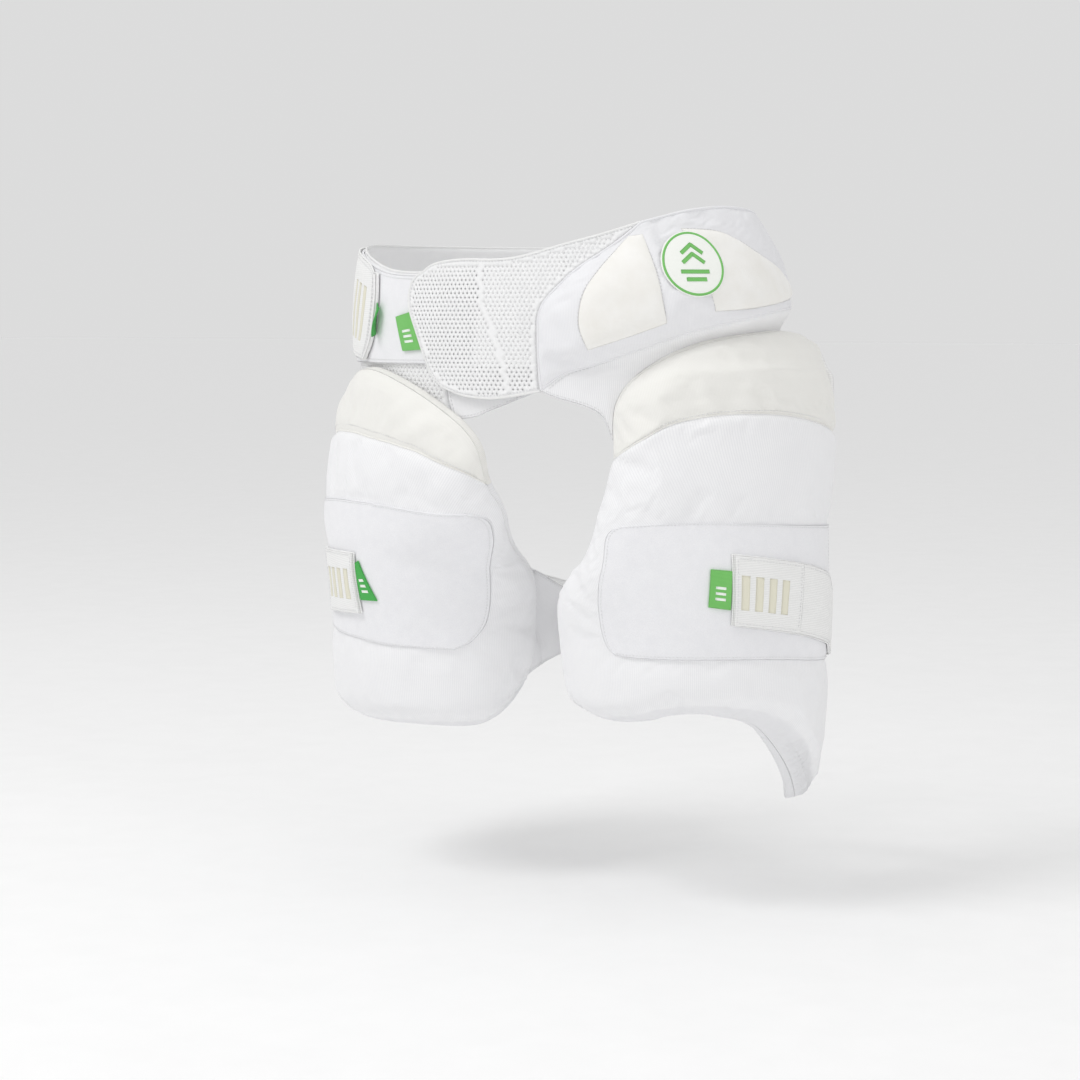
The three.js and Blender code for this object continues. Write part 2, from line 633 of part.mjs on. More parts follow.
function leftLeg() {
  const fastening = {
    place: leftPlace,
    edgeAngle: 140,
    loop: {
      top: [
        { at: 18, down: 0.506 }, { at: 24, down: 0.481 }, { at: 48, down: 0.49 },
        { at: 81, down: 0.51 }, { at: 118, down: 0.53 },
      ],
      bottom: [
        { at: 5, down: 0.808 }, { at: 31, down: 0.811 }, { at: 59, down: 0.817 },
        { at: 87, down: 0.837 }, { at: 118, down: 0.86 },
      ],
      start: [
        { at: 18, down: 0.506 }, { at: 13, down: 0.554 }, { at: 5, down: 0.63 }, { at: 1, down: 0.705 },
        { at: 1, down: 0.77 }, { at: 5, down: 0.808 },
      ],
      end: [{ at: 118, down: 0.53 }, { at: 118, down: 0.86 }],
    },
    middle: [
      { at: 49.5, down: 0.646 }, { at: 74, down: 0.68 }, { at: 100, down: 0.73 }, { at: 124, down: 0.77 },
      { at: 150, down: 0.8 }, { at: 180, down: 0.82 }, { at: strapEndDegrees, down: 0.83 },
    ],
    patchShare: 0.152,
    tab: {
      start: [{ at: 44, down: 0.596 }, { at: 40.5, down: 0.679 }],
      end: [{ at: 50.4, down: 0.603 }, { at: 47.3, down: 0.689 }],
    },
    wrapTop: [
      { at: 218, down: 0.75 }, { at: 250, down: 0.77 }, { at: 280, down: 0.79 }, { at: 302, down: 0.8 },
      { at: 312, down: 0.79 },
    ],
    wrapLow: [
      { at: 213, down: 0.91 }, { at: 250, down: 0.925 }, { at: 280, down: 0.935 }, { at: 312, down: 0.94 },
    ],
  };
  const loopTop = [{ at: 119, down: 0.045 }, { at: 128, down: 0.065 }].map(leftPlace);
  const loopLow = [{ at: 120, down: 0.2 }, { at: 129, down: 0.21 }].map(leftPlace);
  const [, zTop] = first(loopTop);
  const [, zLow] = first(loopLow);
  const bulge = (z) => {
    const share = THREE.MathUtils.clamp((zTop - z) / (zTop - zLow), 0, 1);
    return cornerLoopBulge * Math.sin(Math.PI * share);
  };
  return [
    ...thighPad('left', 1, leftShape),
    ...legFastening('left', 1, leftShape, fastening),
    panel('left_corner_loop', strapWeb(), {
      side: 1,
      top: loopTop,
      bottom: loopLow,
      start: [first(loopTop), first(loopLow)],
      end: [last(loopTop), last(loopLow)],
      ...over((angle, z) => leftShape.face(angle, z) + bulge(z), skinGap + seatGap, cornerLoopThickness),
    }),
  ];
}

// Wearer's right leg: the pad covers the front, with a rounded top under the belt
const rightShape = padShape({
  place: rightPlace,
  across: [
    { at: -62, share: 0.3 }, { at: -45, share: 0.5 }, { at: -20, share: 0.8 }, { at: 5, share: 1 },
    { at: 60, share: 1 }, { at: 85, share: 0.95 }, { at: 102, share: 0.8 },
  ],
  down: [
    { down: 0, share: 0.38 }, { down: 0.2, share: 0.58 }, { down: 0.33, share: 0.83 },
    { down: 0.46, share: 1 }, { down: 0.9, share: 1 }, { down: 1, share: 0.93 },
  ],
  lean: [{ down: 0, share: 0 }, { down: 1, share: 0 }],
  press: { at: 56, down: 0.6 },
  capTop: [
    { at: -20, down: 0.338 }, { at: -10, down: 0.252 }, { at: -5, down: 0.186 }, { at: 1, down: 0.131 },
    { at: 11, down: 0.072 }, { at: 20, down: 0.033 }, { at: 29, down: 0.007 }, { at: 37, down: 0 },
    { at: 46, down: 0.015 }, { at: 61, down: 0.075 }, { at: 75, down: 0.14 }, { at: 88, down: 0.2 },
    { at: 99, down: 0.27 },
  ],
  capSeam: [
    { at: -18.5, down: 0.355 }, { at: -12, down: 0.3 }, { at: -5, down: 0.252 }, { at: 3, down: 0.222 },
    { at: 13, down: 0.198 }, { at: 29, down: 0.181 }, { at: 41, down: 0.175 }, { at: 60, down: 0.19 },
    { at: 80, down: 0.25 }, { at: 101, down: 0.36 },
  ],
  inner: [
    { at: -18.5, down: 0.355 }, { at: -33, down: 0.425 }, { at: -49, down: 0.51 }, { at: -58, down: 0.58 },
    { at: -62, down: 0.68 }, { at: -62, down: 0.8 }, { at: -57, down: 0.88 },
  ],
  low: [
    { at: -57, down: 0.88 }, { at: -50, down: 0.935 }, { at: -41, down: 0.975 }, { at: -29, down: 0.993 },
    { at: 0, down: 0.995 }, { at: 25, down: 1.003 }, { at: 50, down: 1.007 }, { at: 78, down: 1 },
    { at: 95, down: 0.965 },
  ],
  outer: [{ at: 101, down: 0.36 }, { at: 103, down: 0.6 }, { at: 102, down: 0.85 }, { at: 95, down: 0.965 }],
});

function rightLeg() {
  const fastening = {
    place: rightPlace,
    edgeAngle: 102,
    loop: {
      top: [
        { at: -17, down: 0.375 }, { at: 0, down: 0.35 }, { at: 31, down: 0.35 }, { at: 80, down: 0.38 },
      ],
      bottom: [
        { at: -25, down: 0.76 }, { at: 0, down: 0.75 }, { at: 30, down: 0.735 }, { at: 80, down: 0.73 },
      ],
      start: [
        { at: -17, down: 0.375 }, { at: -23, down: 0.405 }, { at: -29, down: 0.465 }, { at: -36, down: 0.6 },
        { at: -36, down: 0.69 }, { at: -32, down: 0.735 }, { at: -25, down: 0.76 },
      ],
      end: [{ at: 80, down: 0.38 }, { at: 80, down: 0.73 }],
    },
    middle: [
      { at: 14.5, down: 0.575 }, { at: 29, down: 0.585 }, { at: 56, down: 0.602 }, { at: 90, down: 0.632 },
      { at: 120, down: 0.662 }, { at: 150, down: 0.692 }, { at: 180, down: 0.722 },
      { at: strapEndDegrees, down: 0.742 },
    ],
    patchShare: 0.125,
    tab: {
      start: [{ at: 10.8, down: 0.52 }, { at: 4, down: 0.614 }],
      end: [{ at: 15.7, down: 0.523 }, { at: 12.4, down: 0.618 }],
    },
    wrapTop: [
      { at: 218, down: 0.66 }, { at: 240, down: 0.665 }, { at: 262, down: 0.66 }, { at: 283, down: 0.61 },
      { at: 302, down: 0.557 }, { at: 312, down: 0.545 },
    ],
    wrapLow: [
      { at: 213, down: 0.823 }, { at: 240, down: 0.81 }, { at: 262, down: 0.801 }, { at: 276, down: 0.81 },
      { at: 290, down: 0.833 }, { at: 304, down: 0.88 }, { at: 312, down: 0.895 },
    ],
  };
  return [...thighPad('right', -1, rightShape), ...legFastening('right', -1, rightShape, fastening)];
}

// Bridge: smooth fabric from the hip pad's lower edge down to the left pad's cap
function bridge() {
  const freeEdge = [
    last(hipSeam),
    ...[{ at: 25, down: 0.157 }, { at: 31, down: 0.176 }, { at: 35, down: 0.202 }].map(leftPlace),
    first(leftShape.top),
  ];
  const capHeight = column(leftShape.top.map(([at, z]) => ({ at, z })), 'at', 'z');
  const rise = (angle, z) => {
    const [above, below] = [hipLowHeight(angle), capHeight(angle)];
    const share = THREE.MathUtils.smoothstep((above - z) / (above - below), 0, 1);
    return THREE.MathUtils.lerp(hipFace(angle, above) - fabric, bridgeLow, share);
  };
  const top = shifted(hipLow, seamDegrees, -gap);
  const capSide = shifted(leftShape.top, -seamDegrees, seamGap);
  const start = shifted(freeEdge, -seamDegrees, -gap);
  start[start.length - 1] = first(capSide);
  start[0] = first(top);
  return [
    panel('hip_bridge', whiteKnit(), {
      side: 1, top, bottom: capSide, start, end: [last(top), last(capSide)], ...over(rise, 0, fabric),
    }),
  ];
}

// Waist strap: round the back from the hip pad, to a bound end with a tab over the loop face
function backAndStrap() {
  const endEdge = [
    { at: 35, up: 0.96 }, { at: 34, up: 0.66 }, { at: 36, up: 0.26 }, { at: 41, up: 0.03 },
  ].map(beltPlace);
  const top = [
    { at: 35, up: 0.96 }, { at: 43, up: 1.09 }, { at: 62, up: 1.235 }, { at: 90, up: 1.29 },
    { at: 150, up: 1.27 }, { at: 200, up: 1.25 }, { at: 234, up: 1.28 },
  ].map(beltPlace);
  const low = [
    { at: 41, up: 0.03 }, { at: 60, up: 0.1 }, { at: 90, up: 0.23 }, { at: 150, up: 0.31 },
    { at: 200, up: 0.3 }, { at: 234, up: 0.36 },
  ].map(beltPlace);
  const strapEdge = shifted(endEdge, bindingDegrees + seamDegrees);
  const bindingEdge = shifted(endEdge, bindingDegrees);
  const backTop = [{ at: 150.4, up: 1.3 }, { at: 200, up: 1.28 }, { at: 248, up: 1.36 }].map(beltPlace);
  const backLow = [{ at: 150.4, up: 0.34 }, { at: 200, up: 0.27 }, { at: 248, up: 0.36 }].map(beltPlace);
  const tabStart = [{ at: 30.8, up: 0.58 }, { at: 32.6, up: 0.28 }].map(beltPlace);
  const tabEnd = [{ at: 33.4, up: 0.64 }, { at: 34.8, up: 0.31 }].map(beltPlace);
  const lifted = (s) => layer(2) + tabLift * (1 - s);
  return [
    panel('belt_back', whiteKnit(), {
      side: -1,
      top: backTop,
      bottom: backLow,
      start: [first(backTop), first(backLow)],
      end: [last(backTop), last(backLow)],
      ...flat(1),
    }),
    panel('waist_strap', strapWeb(), {
      side: -1,
      top: [first(strapEdge), ...top.slice(1)],
      bottom: [last(strapEdge), ...low.slice(1)],
      start: strapEdge,
      end: [last(top), last(low)],
      ...flat(2),
    }),
    panel('waist_strap_binding', whiteBinding(), {
      side: -1,
      top: [first(endEdge), first(bindingEdge)],
      bottom: [last(endEdge), last(bindingEdge)],
      start: endEdge,
      end: bindingEdge,
      ...flat(2, bindingThickness),
    }),
    panel('waist_tab', greenRibbon(), {
      side: -1,
      top: [first(tabStart), first(tabEnd)],
      bottom: [last(tabStart), last(tabEnd)],
      start: tabStart,
      end: tabEnd,
      inner: (angle, z, s) => lifted(s),
      outer: (angle, z, s) => lifted(s) + tabThickness,
    }),
  ];
}

const group = new THREE.Group();
group.add(...rightBelt(), ...frontWing(), ...hipPad(), ...bridge(), ...backAndStrap());
group.add(...leftLeg(), ...rightLeg());
export default group;
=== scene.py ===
"""A cricket thigh guard set as worn: a wide belt with a padded hip, and a padded guard on each thigh.

Shapes are worked out in millimetres and degrees as in the part's source, and made in metres.
"""
import math

import bpy
import numpy as np
from mathutils import Matrix, Vector
from mathutils.geometry import delaunay_2d_cdt


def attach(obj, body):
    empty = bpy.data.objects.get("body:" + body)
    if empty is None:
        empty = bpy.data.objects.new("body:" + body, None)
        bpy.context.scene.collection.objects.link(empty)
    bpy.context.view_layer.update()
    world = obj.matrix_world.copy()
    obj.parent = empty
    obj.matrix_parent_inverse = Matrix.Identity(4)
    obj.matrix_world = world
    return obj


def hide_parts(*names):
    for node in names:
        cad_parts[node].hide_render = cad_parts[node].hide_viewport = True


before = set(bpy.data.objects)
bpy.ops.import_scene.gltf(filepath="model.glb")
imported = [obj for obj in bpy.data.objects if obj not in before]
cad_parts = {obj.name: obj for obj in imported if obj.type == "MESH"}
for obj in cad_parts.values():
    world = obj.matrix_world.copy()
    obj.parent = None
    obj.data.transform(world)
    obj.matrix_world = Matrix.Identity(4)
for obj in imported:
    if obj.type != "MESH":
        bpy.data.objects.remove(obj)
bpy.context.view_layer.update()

MM = 0.001

# The worn form
HIP_HALF_WIDTH, HIP_HALF_DEPTH = 190, 130
THIGH_HALF_WIDTH, THIGH_HALF_DEPTH = 90, 98
THIGH_SPACING, THIGH_SET_BACK = 212, 20
HIP_SWAY, SEAT_DEPTH, FORM_DROP = 15, 32, 460
MM_PER_DEGREE = 2.4

# Layers
FABRIC, GAP = 2, 0.8
PAD_SWELL, CAP_SWELL, HIP_SWELL = 5, 2, 5
SEAM_DEGREES = 0.35
BELT_HEIGHT, BELT_DROP = 76, 52
HIP_HEIGHT, HIP_DROP, HIP_THICKNESS, HIP_ROLL = 128, 60, 19, 30
LEFT_TOP, LEFT_LENGTH = 29, 312
RIGHT_TOP, RIGHT_LENGTH = 58, 306
PAD_THICKNESS, PAD_EDGE, PAD_ROLL = 37, 8, 26
STRAP_WIDTH, STRAP_SLANT, STRAP_END = 50, 2.5, 215
STRAP_PRESS, PRESS_REACH, PRESS_SPREAD = 6, 40, 0.75
LEAN_FROM, LEAN_FULL = 80, 112
LOOP_LIFT, LOOP_THICKNESS = 0.4, 1.5
STRAP_LIFT, STRAP_THICKNESS = 2.6, 2

# How many places an outline's side is measured at, and how long the chords of a distance are
EDGE_COUNT, CHORD = 201, 6

# How far down, how far the form is a leg there, how far its legs are apart, and its widths and shifts:
# down, leg, apart, wide, deep, sway, back, seat
FORM_ROWS = [
    (-0.24, 0, 0, 0.84, 0.845, 0, 0, 0),
    (-0.11, 0, 0, 0.937, 0.93, 0, 0, 0),
    (0, 0, 0, 0.98, 0.977, 0, 0, 0.15),
    (0.13, 0, 0, 1.01, 1, 0, 0.1, 1),
    (0.24, 0.05, 0.075, 1.005, 1, 0.075, 0.25, 0.75),
    (0.35, 0.42, 0.425, 1.015, 1.01, 0.42, 0.5, 0.2),
    (0.467, 0.9, 0.87, 1.04, 1.045, 0.87, 0.8, 0),
    (0.61, 1, 1, 1, 1, 1, 1, 0),
    (0.8, 1, 1, 0.92, 0.9, 1, 1, 0),
    (1, 1, 0.98, 0.845, 0.815, 0.98, 1, 0),
]


def column(rows):
    """A smooth run through (place, value) rows."""
    x, y = (np.array(v, float) for v in zip(*rows))
    step = np.diff(y) / np.diff(x)
    slope = np.empty_like(y)
    slope[0], slope[-1] = step[0], step[-1]
    before, after = step[:-1], step[1:]
    both = before * after > 0
    total = np.where(both, before + after, 1)
    slope[1:-1] = np.where(both, 2 * before * after / total, 0)

    def at(value):
        v = np.clip(value, x[0], x[-1])
        i = np.clip(np.searchsorted(x, v, side="left") - 1, 0, len(x) - 2)
        h = x[i + 1] - x[i]
        t = (v - x[i]) / h
        return ((2 * t**3 - 3 * t**2 + 1) * y[i] + (t**3 - 2 * t**2 + t) * h * slope[i]
                + (3 * t**2 - 2 * t**3) * y[i + 1] + (t**3 - t**2) * h * slope[i + 1])

    return at


LEG, APART, WIDE, DEEP, SWAY, BACK, SEAT = (
    column([(row[0], row[i]) for row in FORM_ROWS]) for i in range(1, 8)
)


def mix(a, b, t):
    return a + (b - a) * t


def smooth(value, low, high):
    t = np.clip((value - low) / (high - low), 0, 1)
    return t * t * (3 - 2 * t)


def form_point(side, angle, z):
    down = -z / FORM_DROP
    turn = np.radians(angle)
    half_width = mix(HIP_HALF_WIDTH, THIGH_HALF_WIDTH, LEG(down)) * WIDE(down)
    half_depth = mix(HIP_HALF_DEPTH, THIGH_HALF_DEPTH, LEG(down)) * DEEP(down)
    x = side * (THIGH_SPACING / 2 * APART(down) + half_width * np.sin(turn)) + HIP_SWAY * SWAY(down)
    y = (THIGH_SET_BACK * BACK(down) + SEAT_DEPTH * SEAT(down) * (1 - np.cos(turn)) / 2
         - half_depth * np.cos(turn))
    return np.stack([x, y, z + 0 * x], -1)


def outward(side, angle, z):
    """The direction straight out from the form."""
    turn_step, down_step = 0.1, 0.5
    around = form_point(side, angle + turn_step, z) - form_point(side, angle - turn_step, z)
    along = form_point(side, angle, z + down_step) - form_point(side, angle, z - down_step)
    normal = np.cross(around, along) * side
    return normal / np.linalg.norm(normal, axis=-1, keepdims=True)


def raised(side, angle, z, height):
    angle, z = np.asarray(angle, float), np.asarray(z, float)
    height = np.asarray(height + 0 * angle, float)
    return form_point(side, angle, z) + outward(side, angle, z) * height[..., None]


def run_of(points):
    """How far along a line each of its points lies."""
    return np.concatenate([[0], np.cumsum(np.linalg.norm(np.diff(points, axis=0), axis=1))])


class Edge:
    """An outline's side: a smooth curve through its places."""

    def __init__(self, places):
        self.points = np.array(places, float) * [MM_PER_DEGREE, 1]
        self.shares = np.linspace(0, 1, EDGE_COUNT)
        self.run = run_of(self.curve(self.shares))
        self.length = self.run[-1]

    def curve(self, t):
        p, last = self.points, len(self.points) - 1
        place = np.asarray(t, float) * last
        i = np.clip(np.floor(place).astype(int), 0, last)
        w = (place - i)[..., None]
        before, here = p[np.maximum(i - 1, 0)], p[i]
        after, beyond = p[np.minimum(i + 1, last)], p[np.minimum(i + 2, last)]
        v0, v1 = (after - before) / 2, (beyond - here) / 2
        return ((2 * here - 2 * after + v0 + v1) * w**3
                + (3 * after - 3 * here - 2 * v0 - v1) * w**2 + v0 * w + here)

    def at(self, share):
        t = np.interp(np.clip(share, 0, 1) * self.length, self.run, self.shares)
        return self.curve(t) / [MM_PER_DEGREE, 1]


class Patch:
    """The places between four sides; top and bottom run from start to end."""

    def __init__(self, side, top, bottom, start=None, end=None):
        self.side = side
        start = start or [top[0], bottom[0]]
        end = end or [top[-1], bottom[-1]]
        self.top, self.bottom, self.start, self.end = (Edge(e) for e in (top, bottom, start, end))
        self.width = max(self.top.length, self.bottom.length)
        self.height = max(self.start.length, self.end.length)

    def at(self, s, t):
        """Places for shares that go together, as (angle, z)."""
        s, t = np.broadcast_arrays(np.asarray(s, float), np.asarray(t, float))
        above, below = self.top.at(s), self.bottom.at(s)
        before, after = self.start.at(t), self.end.at(t)
        a, b = self.top.at(0.0), self.top.at(1.0)
        c, d = self.bottom.at(0.0), self.bottom.at(1.0)
        s, t = s[..., None], t[..., None]
        place = ((1 - t) * above + t * below + (1 - s) * before + s * after
                 - (1 - t) * ((1 - s) * a + s * b) - t * ((1 - s) * c + s * d))
        return place[..., 0], place[..., 1]

    def grid(self, s, t):
        return self.at(s[None, :], t[:, None])


def distance_to(*sides):
    """How far a place lies from the nearest of some curves, in even millimetres."""
    edges = [Edge(side) for side in sides]
    counts = [max(4, round(e.length / CHORD)) + 1 for e in edges]
    ends = [e.at(np.linspace(0, 1, n)) * [MM_PER_DEGREE, 1] for e, n in zip(edges, counts)]
    start = np.concatenate([e[:-1] for e in ends])
    line = np.concatenate([np.diff(e, axis=0) for e in ends])
    square = (line**2).sum(-1)

    def at(angle, z):
        angle, z = np.broadcast_arrays(np.asarray(angle, float), np.asarray(z, float))
        best = np.full(angle.shape, np.inf)
        for p, v, n in zip(start, line, square):
            x, y = angle * MM_PER_DEGREE - p[0], z - p[1]
            t = np.clip((x * v[0] + y * v[1]) / n, 0, 1)
            best = np.minimum(best, np.hypot(x - t * v[0], y - t * v[1]))
        return best

    return at


def rolled(distance, reach, start=1.5):
    """A round rise from 0 at an edge to 1 at `reach`, a little less than upright at the edge."""
    def rise(d):
        return np.sqrt(1 - (1 - np.clip(d / (reach + start), 0, 1)) ** 2)

    first = rise(start)
    return (rise(np.maximum(distance, 0) + start) - first) / (1 - first)


def bump(distance, width):
    return np.exp(-((distance / width) ** 2))


def fold(places, depth, width):
    """A soft crease with a low ridge on each side of it."""
    away = distance_to(places)
    ridge_share, ridge_away, ridge_wide = 0.45, 2.4, 1.4

    def at(angle, z):
        d = away(angle, z)
        ridge = bump(d - ridge_away * width, ridge_wide * width)
        return -depth * bump(d, width) + ridge_share * depth * ridge

    return at


def ripple(angle, z, size, amount):
    """Low uneven swells, the same each run."""
    x, y = angle * MM_PER_DEGREE / size, z / size
    swells = np.sin(x * 1.7 + 0.8 * np.sin(y * 1.3)) * np.sin(y * 1.9 + 0.6 * np.sin(x * 0.9 + 1))
    return amount * (swells + 0.5 * np.sin(x * 3.1 + y * 2.3 + 2)) / 1.5


def layer(count):
    return GAP + count * (FABRIC + GAP)


def belt(*rows):
    return [(at, BELT_HEIGHT * up - BELT_DROP) for at, up in rows]


def hip(*rows):
    return [(at, HIP_HEIGHT * up - HIP_DROP) for at, up in rows]


def left(*rows):
    return [(at, -LEFT_TOP - LEFT_LENGTH * down) for at, down in rows]


def right(*rows):
    return [(at, -RIGHT_TOP - RIGHT_LENGTH * down) for at, down in rows]


def shifted(places, angle, z=0.0):
    return [(a + angle, b + z) for a, b in places]


# Mesh making

class Form:
    """Points, cloth coordinates and faces of one mesh, in millimetres."""

    def __init__(self):
        self.points, self.cloth, self.faces, self.marks, self.count = [], [], [], [], 0

    def add(self, points, cloth, faces, marks=0.0):
        faces = [list(map(int, f)) for f in faces]
        if volume(points, faces) < 0:
            faces = [f[::-1] for f in faces]
        self.points.append(points)
        self.cloth.append(cloth)
        self.faces += [[i + self.count for i in f] for f in faces]
        self.marks.append(np.broadcast_to(marks, len(points)))
        self.count += len(points)


def volume(points, faces):
    a = points[[f[0] for f in faces]]
    total = 0.0
    for i in (1, 2):
        keep = [k for k, f in enumerate(faces) if len(f) > i + 1]
        b = points[[faces[k][i] for k in keep]]
        c = points[[faces[k][i + 1] for k in keep]]
        total += (a[keep] * np.cross(b, c)).sum() / 6
    return total


def shell(form, patch, s, t, inner, outer, bulge, rings=3):
    """A closed layer over a patch, with a rounded rim."""
    angle, z = patch.grid(s, t)
    shell_of(form, patch.side, angle, z, inner(angle, z), outer(angle, z), bulge, rings)


# Distances in from an edge where a grid has its first lines, and a length that counts as none
CLOSE_TO_EDGE, CLOSE_TO_PAD_EDGE, TINY = (0, 0.5, 1.3, 2.6, 4.4), (0, 2, 5), 1e-9


def stands_out(bulge, row, col, rows, cols):
    """How far a rim stands out at each of its points. `bulge` is one number, or one for each side."""
    if not isinstance(bulge, dict):
        return np.full(len(row), float(bulge))
    each = np.full(len(row), np.inf)
    sides = {"top": row == 0, "bottom": row == rows - 1, "start": col == 0, "end": col == cols - 1}
    for name, on in sides.items():
        each[on] = np.minimum(each[on], bulge[name])
    return each


def shell_of(form, side, angle, z, low_height, top_height, bulge, rings, strip=None, shift=None,
             flush=False):
    """A closed layer over a grid of places.

    `strip` marks places for the material, and `shift` moves the face's points. A `flush` rim goes on
    straight from a steep face and tucks in low.
    """
    rows, cols = angle.shape
    top = raised(side, angle, z, top_height)
    if shift is not None:
        top = top + shift
    top, low = top.reshape(-1, 3), raised(side, angle, z, low_height).reshape(-1, 3)
    index = np.arange(rows * cols).reshape(rows, cols)
    quads = np.stack([index[:-1, :-1], index[1:, :-1], index[1:, 1:], index[:-1, 1:]], -1).reshape(-1, 4)
    rim = np.concatenate([index[0, :-1], index[:-1, -1], index[-1, :0:-1], index[:0:-1, 0]])
    row, col = np.divmod(rim, cols)
    next_in = np.clip(row, 1, rows - 2) * cols + np.clip(col, 1, cols - 2)
    away = low[rim] - low[next_in]
    away /= np.maximum(np.linalg.norm(away, axis=1, keepdims=True), TINY)
    out = stands_out(bulge, row, col, rows, cols)[:, None]
    centre, half = (top[rim] + low[rim]) / 2, (top[rim] - low[rim]) / 2
    tall = np.linalg.norm(half, axis=1, keepdims=True)
    total = 2 * rows * cols
    loops, points = [rim], [top, low]
    for k in range(1, rings + 1):
        turn = math.pi * k / (rings + 1)
        share = math.sin(turn) * ((1 - math.cos(turn)) / 2 if flush else 1)
        points.append(centre + half * math.cos(turn) + away * (out * tall) * share)
        loops.append(np.arange(len(rim)) + total + (k - 1) * len(rim))
    loops.append(rim + rows * cols)
    walls = [np.stack([a, np.roll(a, -1), np.roll(b, -1), b], -1) for a, b in zip(loops, loops[1:])]
    faces = np.concatenate([quads, quads[:, ::-1] + rows * cols, *[w[:, ::-1] for w in walls]])
    flat = np.stack([angle * per_degree_at(side, angle.mean(), z.mean()), z], -1).reshape(-1, 2)
    cloth = np.concatenate([flat, flat, *[flat[rim]] * rings])
    marks = np.zeros(len(cloth))
    if strip is not None:
        marks[: rows * cols] = strip(angle, z).reshape(-1)
        marks[2 * rows * cols:] = np.tile(marks[rim], rings)
    form.add(np.concatenate(points), cloth, faces, marks)


def even(length, size, close=CLOSE_TO_EDGE):
    """Shares of a length, close together near both ends."""
    near = np.array(close) / length
    count = max(2, round((1 - 2 * near[-1]) * length / size))
    middle = np.linspace(near[-1], 1 - near[-1], count + 1)[1:-1]
    return np.concatenate([near, middle, 1 - near[::-1]])


COLLECTION = bpy.context.scene.collection


def made(form, name, material, nodes=()):
    mesh = bpy.data.meshes.new(name)
    points = np.concatenate(form.points) * MM
    mesh.from_pydata(points.tolist(), [], form.faces)
    loops = np.empty(len(mesh.loops), np.int32)
    mesh.loops.foreach_get("vertex_index", loops)
    layer_uv = mesh.uv_layers.new(name="cloth")
    layer_uv.data.foreach_set("uv", (np.concatenate(form.cloth) * MM)[loops].astype(np.float32).ravel())
    mesh.materials.append(material)
    marks = np.concatenate(form.marks).astype(np.float32)
    if marks.any():
        mesh.attributes.new("strip", "FLOAT", "POINT").data.foreach_set("value", marks)
    mesh.polygons.foreach_set("use_smooth", np.ones(len(mesh.polygons), bool))
    mesh.update()
    piece = bpy.data.objects.new(name, mesh)
    COLLECTION.objects.link(piece)
    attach(piece, "root")
    if nodes:
        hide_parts(*nodes)
    return piece


# The narrowest ribbon that counts as a sheet, in metres, and the share of its box that a full sheet fills
LEAST_CLOTH, FULL_SHARE = 0.01, 0.97


def cut_size(patch, height, stretch=1.0):
    """The flat width, length and area of a layer before it was put on."""
    s, t = np.linspace(0, 1, 41), np.linspace(0, 1, 31)
    angle, z = patch.grid(s, t)
    p = raised(patch.side, angle, z, height(angle, z))
    across = np.linalg.norm(np.diff(p, axis=1), axis=-1).sum(1)
    down = np.linalg.norm(np.diff(p, axis=0), axis=-1).sum(0)
    a, b = p[1:, :-1] - p[:-1, :-1], p[:-1, 1:] - p[:-1, :-1]
    c, d = p[1:, :-1] - p[1:, 1:], p[:-1, 1:] - p[1:, 1:]
    area = (np.linalg.norm(np.cross(a, b), axis=-1) + np.linalg.norm(np.cross(c, d), axis=-1)).sum() / 2
    width, length = across.mean() * MM / stretch, down.mean() * MM
    return (round(width, 3), round(length, 3)), area * MM**2 / stretch


def sheet(piece, patch, height, stretch=1.0):
    flat, area = cut_size(patch, height, stretch)
    whole = flat[0] * flat[1]
    area = float(min(area, whole)) if area < FULL_SHARE * whole else None


CORD_SIDES, STITCH_SIDES = 8, 6

# The pitch, length and radius of each kind of stitch
STITCHES = {
    "plain": (3.3, 2.3, 0.32), "wing": (3.0, 2.0, 0.28), "foam": (3.0, 2.0, 0.25), "seam": (3.2, 2.2, 0.26),
    "strap": (3.0, 2.1, 0.27), "wrap": (3.2, 2.2, 0.27), "loop": (2.6, 1.8, 0.27),
}

# The share along a stitch, and how far it rises and how fat it is there, in radii
STITCH_ROWS = [(0, -0.9, 0.35), (0.12, 0.1, 0.9), (0.5, 0.55, 1), (0.88, 0.1, 0.9), (1, -0.9, 0.35)]


def tube_faces(count, sides, closed=False):
    """The walls of a tube of `count` rings, and its ends where it isn't closed on itself."""
    index = np.arange(count * sides).reshape(count, sides)
    nxt = np.roll(index, -1, 1)
    corners = (index, np.roll(index, -1, 0), np.roll(nxt, -1, 0), nxt)
    stop = count if closed else count - 1
    faces = np.stack([c[:stop] for c in corners], -1).reshape(-1, 4).tolist()
    return faces if closed else faces + [index[0].tolist(), index[-1][::-1].tolist()]


def tube(form, points, normals, across, along, closed=False):
    """A cord of oval section along a line: `along` is its half height out from the surface."""
    step = np.gradient(points, axis=0)
    if closed:
        step = np.roll(points, -1, 0) - np.roll(points, 1, 0)
    step /= np.linalg.norm(step, axis=1, keepdims=True)
    wide = np.cross(step, normals)
    wide /= np.linalg.norm(wide, axis=1, keepdims=True)
    turn = np.linspace(0, 2 * math.pi, CORD_SIDES, endpoint=False)
    ring = (points[:, None] + wide[:, None] * (np.cos(turn) * across)[None, :, None]
            + normals[:, None] * (np.sin(turn) * along)[None, :, None])
    cloth = np.stack([np.repeat(run_of(points), CORD_SIDES), np.tile(turn * across, len(points))], -1)
    form.add(ring.reshape(-1, 3), cloth, tube_faces(len(points), CORD_SIDES, closed))


def spaced(patch, s, t, height, lift, count=400):
    """Even points and normals along a run of shares on a patch."""
    run = np.linspace(0, 1, count)
    s, t = (np.interp(run, np.linspace(0, 1, len(shares)), shares) for shares in (s, t))
    angle, z = patch.at(s, t)
    points = raised(patch.side, angle, z, height(angle, z) + lift)
    return points, outward(patch.side, angle, z)


